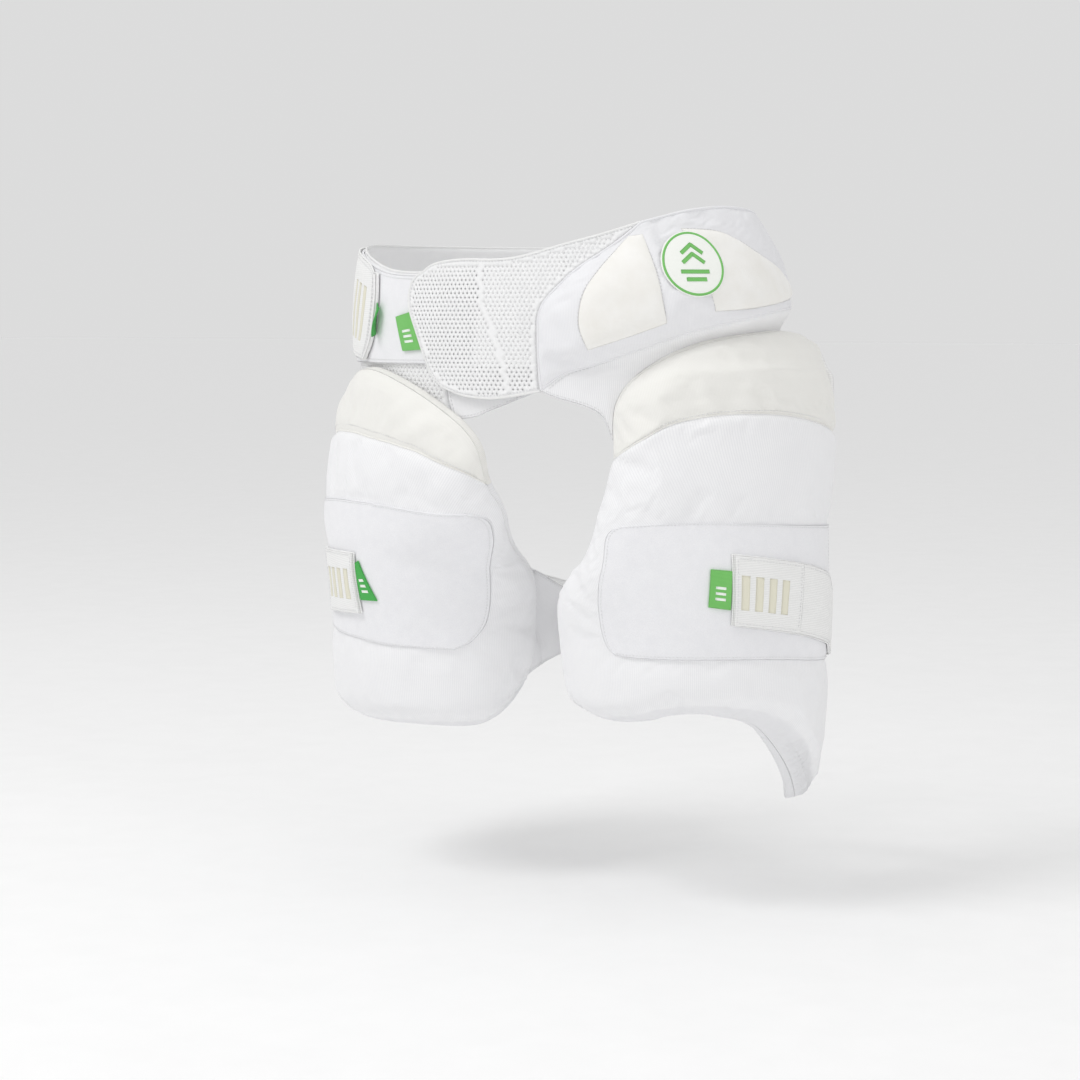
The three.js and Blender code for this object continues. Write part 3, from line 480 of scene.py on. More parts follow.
def stitches(form, points, normals, pitch, length, radius):
    """A row of short thread loops along a line."""
    run = run_of(points)
    shares, rise, fat = np.array(STITCH_ROWS).T
    turn = np.linspace(0, 2 * math.pi, STITCH_SIDES, endpoint=False)
    for start in np.arange(pitch / 2, run[-1] - length, pitch):
        place = start + shares * length
        p = np.stack([np.interp(place, run, points[:, k]) for k in range(3)], -1)
        n = np.stack([np.interp(place, run, normals[:, k]) for k in range(3)], -1)
        n /= np.linalg.norm(n, axis=1, keepdims=True)
        step = p[-1] - p[0]
        wide = np.cross(step / np.linalg.norm(step), n)
        p = p + n * (rise * radius)[:, None]
        ring = (p[:, None] + wide[:, None] * (np.cos(turn) * radius)[None, :, None] * fat[:, None, None]
                + n[:, None] * (np.sin(turn) * radius)[None, :, None] * fat[:, None, None])
        cloth = np.stack([np.repeat(place, STITCH_SIDES), np.tile(turn * radius, len(p))], -1)
        form.add(ring.reshape(-1, 3), cloth, tube_faces(len(p), STITCH_SIDES))


# Materials

def colour(text):
    parts = [int(text[i:i + 2], 16) / 255 for i in (0, 2, 4)]
    return [c / 12.92 if c <= 0.04045 else ((c + 0.055) / 1.055) ** 2.4 for c in parts] + [1]


class Nodes:
    """A material's node tree with short ways to add to it."""

    def __init__(self, name, roughness, sheen=0.0):
        self.material = bpy.data.materials.new(name)
        self.material.use_nodes = True
        self.tree = self.material.node_tree
        self.shader = self.tree.nodes["Principled BSDF"]
        self.shader.inputs["Roughness"].default_value = roughness
        self.shader.inputs["Sheen Weight"].default_value = sheen
        self.shader.inputs["Sheen Roughness"].default_value = 0.5
        self.shader.inputs["Specular IOR Level"].default_value = 0.25
        self.uv = self.add("ShaderNodeUVMap")
        self.uv.uv_map = "cloth"
        self.parts = self.add("ShaderNodeSeparateXYZ")
        self.link(self.uv.outputs["UV"], self.parts.inputs[0])
        self.place = self.add("ShaderNodeTexCoord").outputs["Object"]

    def add(self, kind, **settings):
        node = self.tree.nodes.new(kind)
        for key, value in settings.items():
            setattr(node, key, value)
        return node

    def link(self, a, b):
        self.tree.links.new(a, b)

    def math(self, kind, *values):
        node = self.add("ShaderNodeMath", operation=kind)
        for socket, value in zip(node.inputs, values):
            if isinstance(value, (int, float)):
                socket.default_value = value
            else:
                self.link(value, socket)
        return node.outputs[0]

    def along(self, axis, pitch):
        """One coordinate of the cloth, counted in pitches."""
        return self.math("DIVIDE", self.parts.outputs[axis], pitch * MM)

    def wave(self, value):
        """A round rib for each pitch, from 0 to 1."""
        return self.math("ABSOLUTE", self.math("SINE", self.math("MULTIPLY", value, math.pi)))

    def noise(self, size, detail, rough=0.55, stretch=None):
        node = self.add("ShaderNodeTexNoise")
        node.inputs["Scale"].default_value = 1 / (size * MM)
        node.inputs["Detail"].default_value = detail
        node.inputs["Roughness"].default_value = rough
        source = self.place
        if stretch:
            mapping = self.add("ShaderNodeMapping")
            mapping.inputs["Scale"].default_value = stretch
            self.link(self.uv.outputs["UV"], mapping.inputs["Vector"])
            source = mapping.outputs["Vector"]
        self.link(source, node.inputs["Vector"])
        return node.outputs["Fac"]

    def ramp(self, value, low, high, first, second):
        node = self.add("ShaderNodeMapRange")
        self.link(value, node.inputs["Value"])
        for socket, number in zip(node.inputs[1:5], (low, high, first, second)):
            socket.default_value = number
        return node.outputs["Result"]

    def blend(self, factor, first, second):
        node = self.add("ShaderNodeMix", data_type="RGBA")
        self.link(factor, node.inputs["Factor"])
        for socket, value in ((node.inputs[6], first), (node.inputs[7], second)):
            if isinstance(value, list):
                socket.default_value = value
            else:
                self.link(value, socket)
        return node.outputs[2]

    def relief(self, height, strength, depth, under=None):
        node = self.add("ShaderNodeBump")
        node.inputs["Strength"].default_value = strength
        node.inputs["Distance"].default_value = depth * MM
        self.link(height, node.inputs["Height"])
        if under is not None:
            self.link(under, node.inputs["Normal"])
        return node.outputs["Normal"]

    def finish(self, base, normal):
        self.link(base, self.shader.inputs["Base Color"])
        self.link(normal, self.shader.inputs["Normal"])
        return self.material


def knit(name, light, shade, pitch, depth, roughness=0.85, sheen=0.25, strip=None):
    """Fine knitted cloth: rows of small V-shaped loops, with soft uneven wear.

    `strip` is the colour of the places that a mesh marks.
    """
    n = Nodes(name, roughness, sheen)
    wale = n.along(0, pitch)
    slant = n.math("PINGPONG", wale, 0.5)
    course = n.math("ADD", n.along(1, pitch * 0.8), slant)
    loops = n.math("MULTIPLY", n.wave(wale), n.math("ADD", n.math("MULTIPLY", n.wave(course), 0.6), 0.4))
    fuzz = n.noise(0.7, 4)
    height = n.math("ADD", loops, n.math("MULTIPLY", fuzz, 0.5))
    soft = n.relief(n.noise(14, 3), 0.25, 1.6)
    # Painted shade: the low places between the loops take the darker colour.
    base = n.blend(n.ramp(loops, 0.05, 0.7, 0, 1), colour(shade), colour(light))
    worn = n.ramp(n.noise(22, 3, 0.6), 0.35, 0.7, 0, 0.3)
    base = n.blend(worn, base, colour(shade))
    if strip:
        marked = n.add("ShaderNodeAttribute", attribute_name="strip").outputs["Fac"]
        base = n.blend(marked, base, colour(strip))
    return n.finish(base, n.relief(height, 0.32, depth, soft))


def pile(name, light, shade):
    """Brushed loop fabric: short tangled fibres, pressed flat in patches."""
    n = Nodes(name, 0.95, 0.5)
    tangle = n.noise(0.55, 5, 0.7)
    flow = n.noise(1, 4, 0.6, (1.0, 0.35, 1.0))
    patch = n.noise(9, 3)
    height = n.math("ADD", n.math("MULTIPLY", tangle, 0.7), n.math("MULTIPLY", flow, 0.6))
    # Painted shade: where the tangled fibres lie low they take the darker colour.
    base = n.blend(n.ramp(tangle, 0.35, 0.62, 0, 1), colour(shade), colour(light))
    base = n.blend(n.ramp(patch, 0.4, 0.7, 0, 0.4), base, colour(shade))
    return n.finish(base, n.relief(height, 0.55, 0.35, n.relief(patch, 0.2, 0.8)))


def webbing(name, light, shade, rib=1.7, thread=0.8, roughness=0.8):
    """Woven elastic or ribbon: ribs across, and threads that pass over and under them."""
    n = Nodes(name, roughness, 0.15)
    across, along = n.along(1, rib), n.along(0, thread)
    shift = n.math("MULTIPLY", n.math("FLOOR", across), 0.5)
    thread_wave = n.wave(n.math("ADD", along, shift))
    ribs = n.wave(across)
    height = n.math("MULTIPLY", ribs, n.math("ADD", n.math("MULTIPLY", thread_wave, 0.55), 0.45))
    fuzz = n.noise(0.8, 3)
    # Painted shade: the low places between the ribs and threads take the darker colour.
    base = n.blend(n.ramp(height, 0.1, 0.75, 0, 1), colour(shade), colour(light))
    base = n.blend(n.ramp(n.noise(12, 2), 0.4, 0.75, 0, 0.3), base, colour(shade))
    total = n.math("ADD", height, n.math("MULTIPLY", fuzz, 0.3))
    return n.finish(base, n.relief(total, 0.5, 0.3, n.relief(n.noise(16, 2), 0.15, 1.2)))


def foam(name, light, shade):
    """Smooth foam under thin stretched cloth, with a faint grain."""
    n = Nodes(name, 0.8, 0.3)
    grain = n.noise(0.5, 4)
    cells = n.add("ShaderNodeTexVoronoi")
    cells.inputs["Scale"].default_value = 1 / (1.3 * MM)
    n.link(n.place, cells.inputs["Vector"])
    height = n.math("ADD", n.math("MULTIPLY", grain, 0.6), cells.outputs["Distance"])
    tone = n.ramp(n.noise(26, 3), 0.35, 0.7, 0, 1)
    base = n.blend(tone, colour(light), colour(shade))
    return n.finish(base, n.relief(height, 0.22, 0.25, n.relief(n.noise(20, 2), 0.2, 1.2)))


def printed(name, light, shade):
    """Rubbery print on cloth: the weave shows through, with small worn specks."""
    n = Nodes(name, 0.55, 0.0)
    weave = n.math("MULTIPLY", n.wave(n.along(0, 1.1)), n.wave(n.along(1, 1.1)))
    speck = n.ramp(n.noise(0.8, 4, 0.7), 0.55, 0.72, 0, 0.6)
    base = n.blend(speck, colour(light), colour(shade))
    return n.finish(base, n.relief(weave, 0.35, 0.15, n.relief(n.noise(7, 2), 0.1, 0.5)))


WHITE_KNIT = knit("white knit", "F8F8F9", "EBEBED", 1.3, 0.18)
PAD_KNIT = knit("pad knit", "F8F8F9", "EEEEF0", 1.3, 0.18, strip="ECECEE")
WHITE_MESH = knit("white mesh", "F9F9F9", "EEEEEF", 1.0, 0.15)
LOOP_PILE = pile("loop pile", "F6F6F8", "EBEBEE")
STRETCH_KNIT = knit("stretch knit", "F2F2F4", "EAEAED", 0.9, 0.12, 0.6, 0.15)
CREAM_FOAM = foam("cream foam", "F8F7F4", "F2F0EB")
CREAM_STRETCH = knit("cream stretch knit", "F5F4F0", "EEEDE8", 0.9, 0.12, 0.7, 0.2)
STRAP_WEB = webbing("strap webbing", "F7F7F6", "EDEDEC")
BINDING = webbing("binding tape", "FBFBFA", "EAEAEA", 1.0, 0.7, 0.7)
# The ribbon's own green, and below it the same green with painted shade, for ribbon ends that stand out
# from the surface and face away from the light.
GREEN_LIGHT = webbing("green ribbon light", "84CF74", "6DBD5E", 0.9, 0.6, 0.55)
GREEN_PAINTED_SHADE = webbing("green ribbon painted shade", "4DBB55", "36A243", 0.9, 0.6, 0.55)
BADGE_WHITE = printed("badge white", "F8FAF5", "EFF1EC")
BADGE_GREEN = printed("badge green", "7CC46C", "66B35A")
BEIGE_PRINT = printed("beige print", "E9E6D4", "E0DCC6")
TAB_WHITE = printed("tab white", "F4FAF2", "D8ECD2")
THREAD = webbing("white thread", "F4F4F4", "DCDCDE", 0.5, 0.4, 0.6)


# Cloth pieces

CLOTH_BULGE, LOW_BULGE = 0.9, 0.3


def per_degree_at(side, angle, z):
    return np.linalg.norm(raised(side, angle + 0.5, z, 5.0) - raised(side, angle - 0.5, z, 5.0))


def outline(patch, size):
    """Places round a patch's rim, about `size` apart."""
    runs = []
    for edge in (patch.top, patch.end, patch.bottom, patch.start):
        shares = np.linspace(0, 1, max(2, round(edge.length / size)) + 1)[:-1]
        runs.append(edge.at(1 - shares if edge in (patch.bottom, patch.start) else shares))
    return np.concatenate(runs)


def inside(points, ring):
    """Which points lie within a closed outline."""
    x, y = points[:, 0][:, None], points[:, 1][:, None]
    a, b = ring, np.roll(ring, -1, 0)
    crosses = (a[:, 1] > y) != (b[:, 1] > y)
    rise = np.where(b[:, 1] == a[:, 1], 1, b[:, 1] - a[:, 1])
    return (crosses & (x < a[:, 0] + (y - a[:, 1]) * (b[:, 0] - a[:, 0]) / rise)).sum(1) % 2 == 1


# How far holes stay from the rim, how close their rows are, and their sides and the dip of their rims
HOLE_MARGIN, ROW_SHARE, HOLE_SIDES, HOLE_DIP = 2.6, 0.87, 8, 0.35
RIM_STEP, WELD = 2.2, 1e-4


def staggered(rim, pitch):
    """Places in staggered rows within an outline, clear of its rim."""
    low, high = rim.min(0), rim.max(0)
    rows = []
    for k, y in enumerate(np.arange(low[1], high[1], pitch * ROW_SHARE)):
        x = np.arange(low[0] + (pitch / 2 if k % 2 else 0), high[0], pitch)
        rows.append(np.stack([x, 0 * x + y], -1))
    places = np.concatenate(rows)
    near = np.linalg.norm(places[:, None] - rim[None], axis=-1).min(1)
    return places[inside(places, rim) & (near > HOLE_MARGIN)]


def ring_edges(first, count):
    return [(first + k, first + (k + 1) % count) for k in range(count)]


def perforated(form, patch, inner, outer, pitch, radius, solid):
    """A layer with a staggered pattern of round holes. `solid` says where it has none."""
    places = outline(patch, RIM_STEP)
    scale = np.array([per_degree_at(patch.side, places[:, 0].mean(), places[:, 1].mean()), 1.0])
    rim = places * scale
    lattice = staggered(rim, pitch)
    shut = solid(*(lattice / scale).T)
    turn = np.linspace(0, 2 * math.pi, HOLE_SIDES + 1)[:-1] + math.pi / HOLE_SIDES
    circle = np.stack([np.cos(turn), np.sin(turn)], -1) * radius
    centres, plain = lattice[~shut], lattice[shut]
    holes = (centres[:, None] + circle[None]).reshape(-1, 2)
    points = np.concatenate([rim, holes, plain])
    edges = ring_edges(0, len(rim))
    for k in range(len(centres)):
        edges += ring_edges(len(rim) + HOLE_SIDES * k, HOLE_SIDES)
    found = delaunay_2d_cdt([Vector(q) for q in points.tolist()], edges, [], 1, WELD)
    flat = np.array([tuple(q) for q in found[0]])
    hole = np.full(len(flat), -1)
    for k, sources in enumerate(found[3]):
        for source in sources:
            if len(rim) <= source < len(rim) + len(holes):
                hole[k] = (source - len(rim)) // HOLE_SIDES
    faces = [f for f in found[2] if hole[f[0]] < 0 or not hole[f[0]] == hole[f[1]] == hole[f[2]]]
    angle, z = (flat / scale).T
    dip = np.where(hole >= 0, -HOLE_DIP, 0.0)
    top = raised(patch.side, angle, z, outer(angle, z) + dip)
    under = raised(patch.side, angle, z, inner(angle, z) - 0.4 * dip)
    count = len(flat)
    used = dict.fromkeys((a, b) for f in faces for a, b in zip(f, (*f[1:], f[0])))
    walls = [(a, a + count, b + count, b) for a, b in used if (b, a) not in used]
    both = [tuple(f) for f in faces] + [tuple(v + count for v in f[::-1]) for f in faces] + walls
    form.add(np.concatenate([top, under]), np.concatenate([flat, flat]), both)


def flat_sheet(name, patch, inner, outer, material, size, node, stretch=1.0):
    """A sheet of cloth in place of a node, on a grid of about `size`."""
    form = Form()
    shell(form, patch, even(patch.width, size), even(patch.height, size), inner, outer, CLOTH_BULGE)
    sheet(made(form, name, material, [node]), patch, outer, stretch)


def border(patch, inset, height, lift, sides="top,end,bottom,start"):
    """Lines inside a patch's outline, one for each side."""
    a, b = inset / patch.width, inset / patch.height
    runs = {
        "top": ((a, 1 - a), (b, b)), "bottom": ((a, 1 - a), (1 - b, 1 - b)),
        "start": ((a, a), (b, 1 - b)), "end": ((1 - a, 1 - a), (b, 1 - b)),
    }
    return [spaced(patch, *runs[side], height, lift) for side in sides.split(",")]


def sewn(name, lines, kind="plain"):
    form = Form()
    for points, normals in lines:
        stitches(form, points, normals, *STITCHES[kind])
    made(form, name, THREAD)


def corded(name, lines, across, along, material):
    form = Form()
    for points, normals in lines:
        tube(form, points, normals, across, along)
    made(form, name, material)


def covered(margin, *patches):
    """Where pieces sewn on top hold a cover down: over these patches, and `margin` round them."""
    rings = [outline(patch, 6) * [MM_PER_DEGREE, 1] for patch in patches]

    def at(a, z):
        spots = np.stack([a * MM_PER_DEGREE, z], -1).reshape(-1, 2)
        held = np.zeros(len(spots), bool)
        for ring in rings:
            near = np.linalg.norm(spots[:, None] - ring[None], axis=-1).min(1) < margin
            held |= inside(spots, ring) | near
        return held.reshape(a.shape)

    return at


# A pad's cover as cloth under air pressure, how long it swells, and how many rows its rim holds
COVER = dict(quality=4, mass=0.3, tension_stiffness=12, compression_stiffness=12, shear_stiffness=4,
             bending_stiffness=0.4, shrink_min=-0.025, shrink_max=-0.025, vertex_group_mass="pinned",
             use_pressure=True, uniform_pressure_force=4)
COVER_FRAMES, HELD_ROWS = 20, 2


def swell(patch, s, t, inner, outer, cap, sewn_down):
    """How far each point of a pad's face moves where air pressure fills it as loose cloth.

    The rim stays where it is, and so does what `sewn_down` says.
    """
    angle, z = patch.grid(s, t)
    rows, cols = angle.shape
    form = Form()
    shell_of(form, patch.side, angle, z, inner(angle, z), outer(angle, z), LOW_BULGE, 1)
    mesh = bpy.data.meshes.new("swell")
    rest = np.concatenate(form.points) * MM
    mesh.from_pydata(rest.tolist(), [], form.faces)
    cloth = bpy.data.objects.new("swell", mesh)
    COLLECTION.objects.link(cloth)
    pinned = cloth.vertex_groups.new(name="pinned")
    index = np.arange(rows * cols).reshape(rows, cols)
    middle = (slice(HELD_ROWS, -HELD_ROWS),) * 2
    free = index[middle][~sewn_down(angle, z)[middle]]
    held = np.setdiff1d(np.arange(len(rest)), free)
    pinned.add(held.tolist(), 1.0, "REPLACE")
    modifier = cloth.modifiers.new("cloth", "CLOTH")
    for setting, value in COVER.items():
        setattr(modifier.settings, setting, value)
    modifier.settings.effector_weights.gravity = 0
    modifier.collision_settings.use_self_collision = False
    scene = bpy.context.scene
    for number in range(1, COVER_FRAMES + 1):
        scene.frame_set(number)
    shaped = cloth.evaluated_get(bpy.context.evaluated_depsgraph_get()).to_mesh()
    now = np.empty(len(rest) * 3, np.float32)
    shaped.vertices.foreach_get("co", now)
    moved = (now.reshape(-1, 3) - rest)[: rows * cols] / MM
    bpy.data.objects.remove(cloth)
    scene.frame_set(1)
    far = np.linalg.norm(moved, axis=1, keepdims=True)
    moved = moved * np.minimum(1, cap / np.maximum(far, TINY))
    return moved.reshape(rows, cols, 3)


def upsampled(moved, s, t, fine_s, fine_t):
    """Carries the moves of a coarse grid over to a fine one."""
    rows = np.stack([[np.interp(fine_s, s, line[:, k]) for k in range(3)] for line in moved])
    return np.stack([[np.interp(fine_t, t, rows[:, k, j]) for k in range(3)]
                     for j in range(len(fine_s))]).transpose(2, 0, 1)


# Belt on the wearer's right
TOP_RUN = [(15, 0.97), (27, 0.99), (35, 1.04), (46, 1.14), (62, 1.26), (90, 1.32)]
BELT_TOP = belt((-6, 0.99), *TOP_RUN, (158, 1.3))
MESH_FRONT = belt((-6, 0.99), (1, 0.3), (6.5, -0.28), (4, -0.6))
MESH_LOW = belt((4, -0.6), (30, -0.78), (80, -0.95), (110, -0.75), (135, -0.1), (158, 0.34))
LOOP_TOP = belt((-5, 0.99), *TOP_RUN, (150, 1.3))
LOOP_LOW = belt((-2, 0.04), (60, 0.04), (110, 0.16), (150, 0.38))
GUSSET_FRONT = belt((3.4, -0.04), (6.5, -0.28), (4, -0.6))
GUSSET_LOW = belt((4, -0.6), (-2, -0.57), (-7, -0.49), (-20, -0.27))
GUSSET_FAR = belt((-20, -0.04))[0]
LOOP_INSET, MESH_THICKNESS, HOLES_END = 3, 1.7, 118
BELT_HOLES, WING_HOLES = (4.1, 0.82), (4.0, 0.8)
RIBBON_THICKNESS, BELT_STRETCH, WING_STRETCH = 1.1, 1.03, 1.02


def constant(value):
    return lambda angle, z: value + 0 * angle


def right_belt():
    patch = Patch(-1, BELT_TOP, MESH_LOW, MESH_FRONT, [BELT_TOP[-1], MESH_LOW[-1]])
    loop_low = column(LOOP_LOW)
    edges = distance_to(BELT_TOP, MESH_LOW, MESH_FRONT)
    form = Form()
    perforated(form, patch, constant(layer(0)), constant(layer(0) + MESH_THICKNESS), *BELT_HOLES,
               lambda a, z: (z > loop_low(a) - 1) | (a > HOLES_END) | (edges(a, z) < 4))
    piece = made(form, "belt_mesh", WHITE_MESH, ["belt_mesh_right"])
    sheet(piece, patch, constant(layer(0)), stretch=BELT_STRETCH)

    loop = Patch(-1, shifted(LOOP_TOP, 0, -LOOP_INSET), shifted(LOOP_LOW, 0, -LOOP_INSET))
    top = lambda a, z: layer(1) + FABRIC - 0.3 + ripple(a, z, 26, 0.15)
    flat_sheet("belt_loop_face", loop, constant(layer(1) - 0.5), top, LOOP_PILE, 3.5,
               "belt_loop_face_right")
    sewn("belt_loop_stitches", border(loop, 2.5, top, 0.1))

    a = SEAM_DEGREES
    gusset = Patch(-1, shifted([GUSSET_FRONT[0], GUSSET_FAR], -a), shifted(GUSSET_LOW, -a),
                   shifted(GUSSET_FRONT, -a), shifted([GUSSET_FAR, GUSSET_LOW[-1]], -a))
    skin = lambda a, z: layer(0) + 1.8 + ripple(a, z, 14, 0.35)
    flat_sheet("gusset", gusset, constant(layer(0)), skin, WHITE_KNIT, 2.5,
               "front_gusset")
    sewn("gusset_stitches", border(gusset, 1.8, skin, 0.1, "start,bottom"))
    edge_lines = [spaced(patch, (0, 0.98), (0, 0), constant(layer(0) + 0.9), 0)]
    corded("belt_top_edge", edge_lines, 1.3, 1.1, BINDING)


WING_TOP = belt((-14, 0.97), (-10, 1.05), (-2, 1.09), (13, 1.1), (28, 1.25), (39, 1.36), (49, 1.47))
WING_END = belt((-14, 0.97), (-17.4, 0.88), (-18.6, 0.72), (-17.8, 0.55), (-15, 0.32), (-10.5, -0.07),
                (-7, -0.24))
WING_LOW = belt((-7, -0.24), (-1, -0.33), (6, -0.36), (12, -0.34), (20, -0.28))
HIP_SEAM = belt((49, 1.47), (39, 1.2), (31, 1), (25, 0.79), (21, 0.58), (20, 0.33), (20, -0.28))
WING_CREASE = [(4, 34), (5, -1), (9, -33), (11, -57), (12, -80)]
WING_THICKNESS, WING_RIB, WING_STEP = 1.4, 0.12, 0.7


def front_wing():
    patch = Patch(1, WING_TOP, WING_LOW, WING_END, HIP_SEAM)
    crease_at = column([(-z, a) for a, z in WING_CREASE])
    crease = fold(WING_CREASE, 0.5, 1.6)

    def beyond(a, z):
        return (a - crease_at(-z)) * MM_PER_DEGREE

    def top(a, z):
        behind = smooth(-beyond(a, z), -1.5, 1.5)
        ribs = WING_RIB * np.sin(a * MM_PER_DEGREE * 1.1) * (1 - behind)
        return layer(2) + 1.6 + WING_STEP * behind + crease(a, z) + ribs + ripple(a, z, 22, 0.3)

    rim = distance_to(WING_TOP, WING_LOW, WING_END)
    seam = distance_to(HIP_SEAM)
    form = Form()
    perforated(form, patch, lambda a, z: top(a, z) - WING_THICKNESS, top, *WING_HOLES,
               lambda a, z: (rim(a, z) < 3) | (seam(a, z) < 3.4) | (abs(beyond(a, z)) < 1.6))
    piece = made(form, "wing_mesh", WHITE_MESH, ["front_wing"])
    sheet(piece, patch, constant(layer(2)), stretch=WING_STRETCH)

    around_s = np.concatenate([np.linspace(1, 0, 60), np.zeros(60), np.linspace(0, 1, 60)])
    around_t = np.concatenate([np.zeros(60), np.linspace(0, 1, 60), np.ones(60)])
    line = spaced(patch, around_s, around_t, top, -0.7, 520)
    corded("wing_edge", [line], 1.25, 1.05, BINDING)
    sewn("wing_stitches", border(patch, 2.6, top, 0.05, "top,bottom,start")
         + [spaced(patch, (0.985, 0.985), (0, 1), top, 0.05)], "wing")


def rect(side, start, end):
    return Patch(side, [start[0], end[0]], [start[-1], end[-1]], start, end)


BAR_SINK, BAR_STEP, TAB_BAR, LABEL_BAR = 0.1, 1.6, 0.3, 0.2


def bars(name, patch, spans, surface, thickness, material):
    """Plain raised bars: each span is (first share, last share, top share, bottom share)."""
    form = Form()
    low = lambda a, z: surface(a, z) - BAR_SINK
    for s0, s1, t0, t1 in spans:
        s = np.linspace(s0, s1, max(4, round((s1 - s0) * patch.width / BAR_STEP)))
        t = np.linspace(t0, t1, max(4, round((t1 - t0) * patch.height / BAR_STEP)))
        shell(form, patch, s, t, low, lambda a, z: low(a, z) + thickness, LOW_BULGE, 1)
    made(form, name, material)


TAB_SPANS = [(0.26, 0.74, t, t + 0.07) for t in (0.42, 0.57, 0.72)]
TAB_STEP, CLOSE_TO_TAB_EDGE = 1.2, (0, 0.3, 0.8)


def tab(name, node, patch, inner, material):
    """The end of a green ribbon, with three bars on it."""
    outer = lambda a, z: inner(a, z) + RIBBON_THICKNESS
    form = Form()
    s, t = (even(length, TAB_STEP, CLOSE_TO_TAB_EDGE) for length in (patch.width, patch.height))
    shell(form, patch, s, t, inner, outer, CLOTH_BULGE)
    ribbon = made(form, name, material, [node])
    if min(cut_size(patch, outer)[0]) >= LEAST_CLOTH:
        sheet(ribbon, patch, outer)
    bars(name + "_bars", patch, TAB_SPANS, outer, TAB_BAR, TAB_WHITE)


# Hip pad
HIP_TOP = [HIP_SEAM[0], *hip((66, 1.01), (84, 1.03), (104, 1), (122, 0.9))]
HIP_LOW = [HIP_SEAM[-1], *hip((26, 0), (34, 0.06), (46, 0.16), (59, 0.26), (73, 0.32), (95, 0.37),
                              (122, 0.36))]
HIP_REAR = [HIP_TOP[-1], HIP_LOW[-1]]
LOW_EDGE_LIFT = column([(20, 0), (40, 0.12), (60, 0.45), (85, 0.8), (105, 0.8), (122, 0.5)])
HIP_FULLNESS = column([(0.3, 1), (0.47, 1), (0.63, 0.78), (0.8, 0.4), (0.94, 0.12), (1.03, 0)])
HIP_LOW_HEIGHT = column(HIP_LOW)
FROM_HIP_EDGE = distance_to(HIP_TOP, HIP_SEAM, HIP_REAR)


def hip_face(angle, z):
    bottom = rolled(np.maximum(0, z - HIP_LOW_HEIGHT(angle)), HIP_ROLL)
    risen = rolled(FROM_HIP_EDGE(angle, z), HIP_ROLL) * mix(bottom, 1, LOW_EDGE_LIFT(angle))
    full = HIP_FULLNESS((z + HIP_DROP) / HIP_HEIGHT)
    return layer(2) + FABRIC + (HIP_THICKNESS - FABRIC) * risen * full


SEGMENT_FRONT = dict(
    top=hip((45, 0.845), (49, 0.855)),
    bottom=hip((33, 0.155), (53, 0.32)),
    start=hip((45, 0.845), (42, 0.775), (37, 0.64), (33, 0.49), (31.5, 0.31), (33, 0.155)),
    end=hip((49, 0.855), (51.5, 0.61), (52.5, 0.43), (53, 0.32)),
)
SEGMENT_REAR = dict(
    top=hip((61, 0.89), (73, 0.875), (81, 0.82), (90, 0.725), (103, 0.61), (110, 0.49)),
    bottom=hip((67, 0.385), (82, 0.4), (110, 0.45)),
)
HIP_GRID, SEGMENT_GRID, SEGMENT_CROWN, SEGMENT_SINK = 2.4, 2.2, 2.0, 1.5


def swollen(form, patch, inner, face, bulge, rings, grids, cap, sewn_down, strip=None):
    """A padded cover: swollen on the first grid of `grids`, and made on the second, finer one."""
    coarse, fine = grids
    s, t = (even(length, coarse, CLOSE_TO_PAD_EDGE) for length in (patch.width, patch.height))
    moved = swell(patch, s, t, constant(inner), face, cap, sewn_down)
    fine_s, fine_t = even(patch.width, fine), even(patch.height, fine)
    angle, z = patch.grid(fine_s, fine_t)
    shell_of(form, patch.side, angle, z, inner + 0 * z, face(angle, z), bulge, rings, strip,
             upsampled(moved, s, t, fine_s, fine_t), flush=True)


def hip_pad():
    segments = [Patch(1, **SEGMENT_FRONT), Patch(1, **SEGMENT_REAR)]
    groove = distance_to(SEGMENT_FRONT["start"], SEGMENT_FRONT["bottom"], SEGMENT_FRONT["end"],
                         SEGMENT_REAR["top"], SEGMENT_REAR["bottom"])
    low_fold = fold([(24, -52), (34, -44), (46, -32), (60, -18), (76, -10), (96, -4)], 0.7, 4)
    side_fold = fold([(27, 12), (25, -10), (27, -34)], 0.8, 3)

    def face(a, z):
        sunk = hip_face(a, z) - 0.5 * bump(groove(a, z), 3.2)
        return sunk + low_fold(a, z) + side_fold(a, z) + ripple(a, z, 24, 0.35)

    shift = SEAM_DEGREES / 2
    patch = Patch(1, *(shifted(edge, shift) for edge in (HIP_TOP, HIP_LOW, HIP_SEAM, HIP_REAR)))
    form = Form()
    swollen(form, patch, layer(2), face, {"top": 0.5, "bottom": 0.1, "start": 0.1, "end": 0.4}, 4,
            (5, HIP_GRID), HIP_SWELL, covered(4, *segments))
    made(form, "hip_cover", STRETCH_KNIT, ["hip_pad"])

    for name, part in zip(("front", "rear"), segments):
        hip_segment(name, part, face)
    badge(lambda a, z: face(a, z) + BADGE_LIFT)
    seam = [spaced(patch, (0.004, 0.004), (0, 1), face, 0.3),
            spaced(patch, (0, 1), (0.004, 0.004), face, 0.2),
            spaced(patch, (0, 1), (0.996, 0.996), face, -0.2)]
    corded("hip_seam_cord", seam, 1.1, 0.9, STRETCH_KNIT)


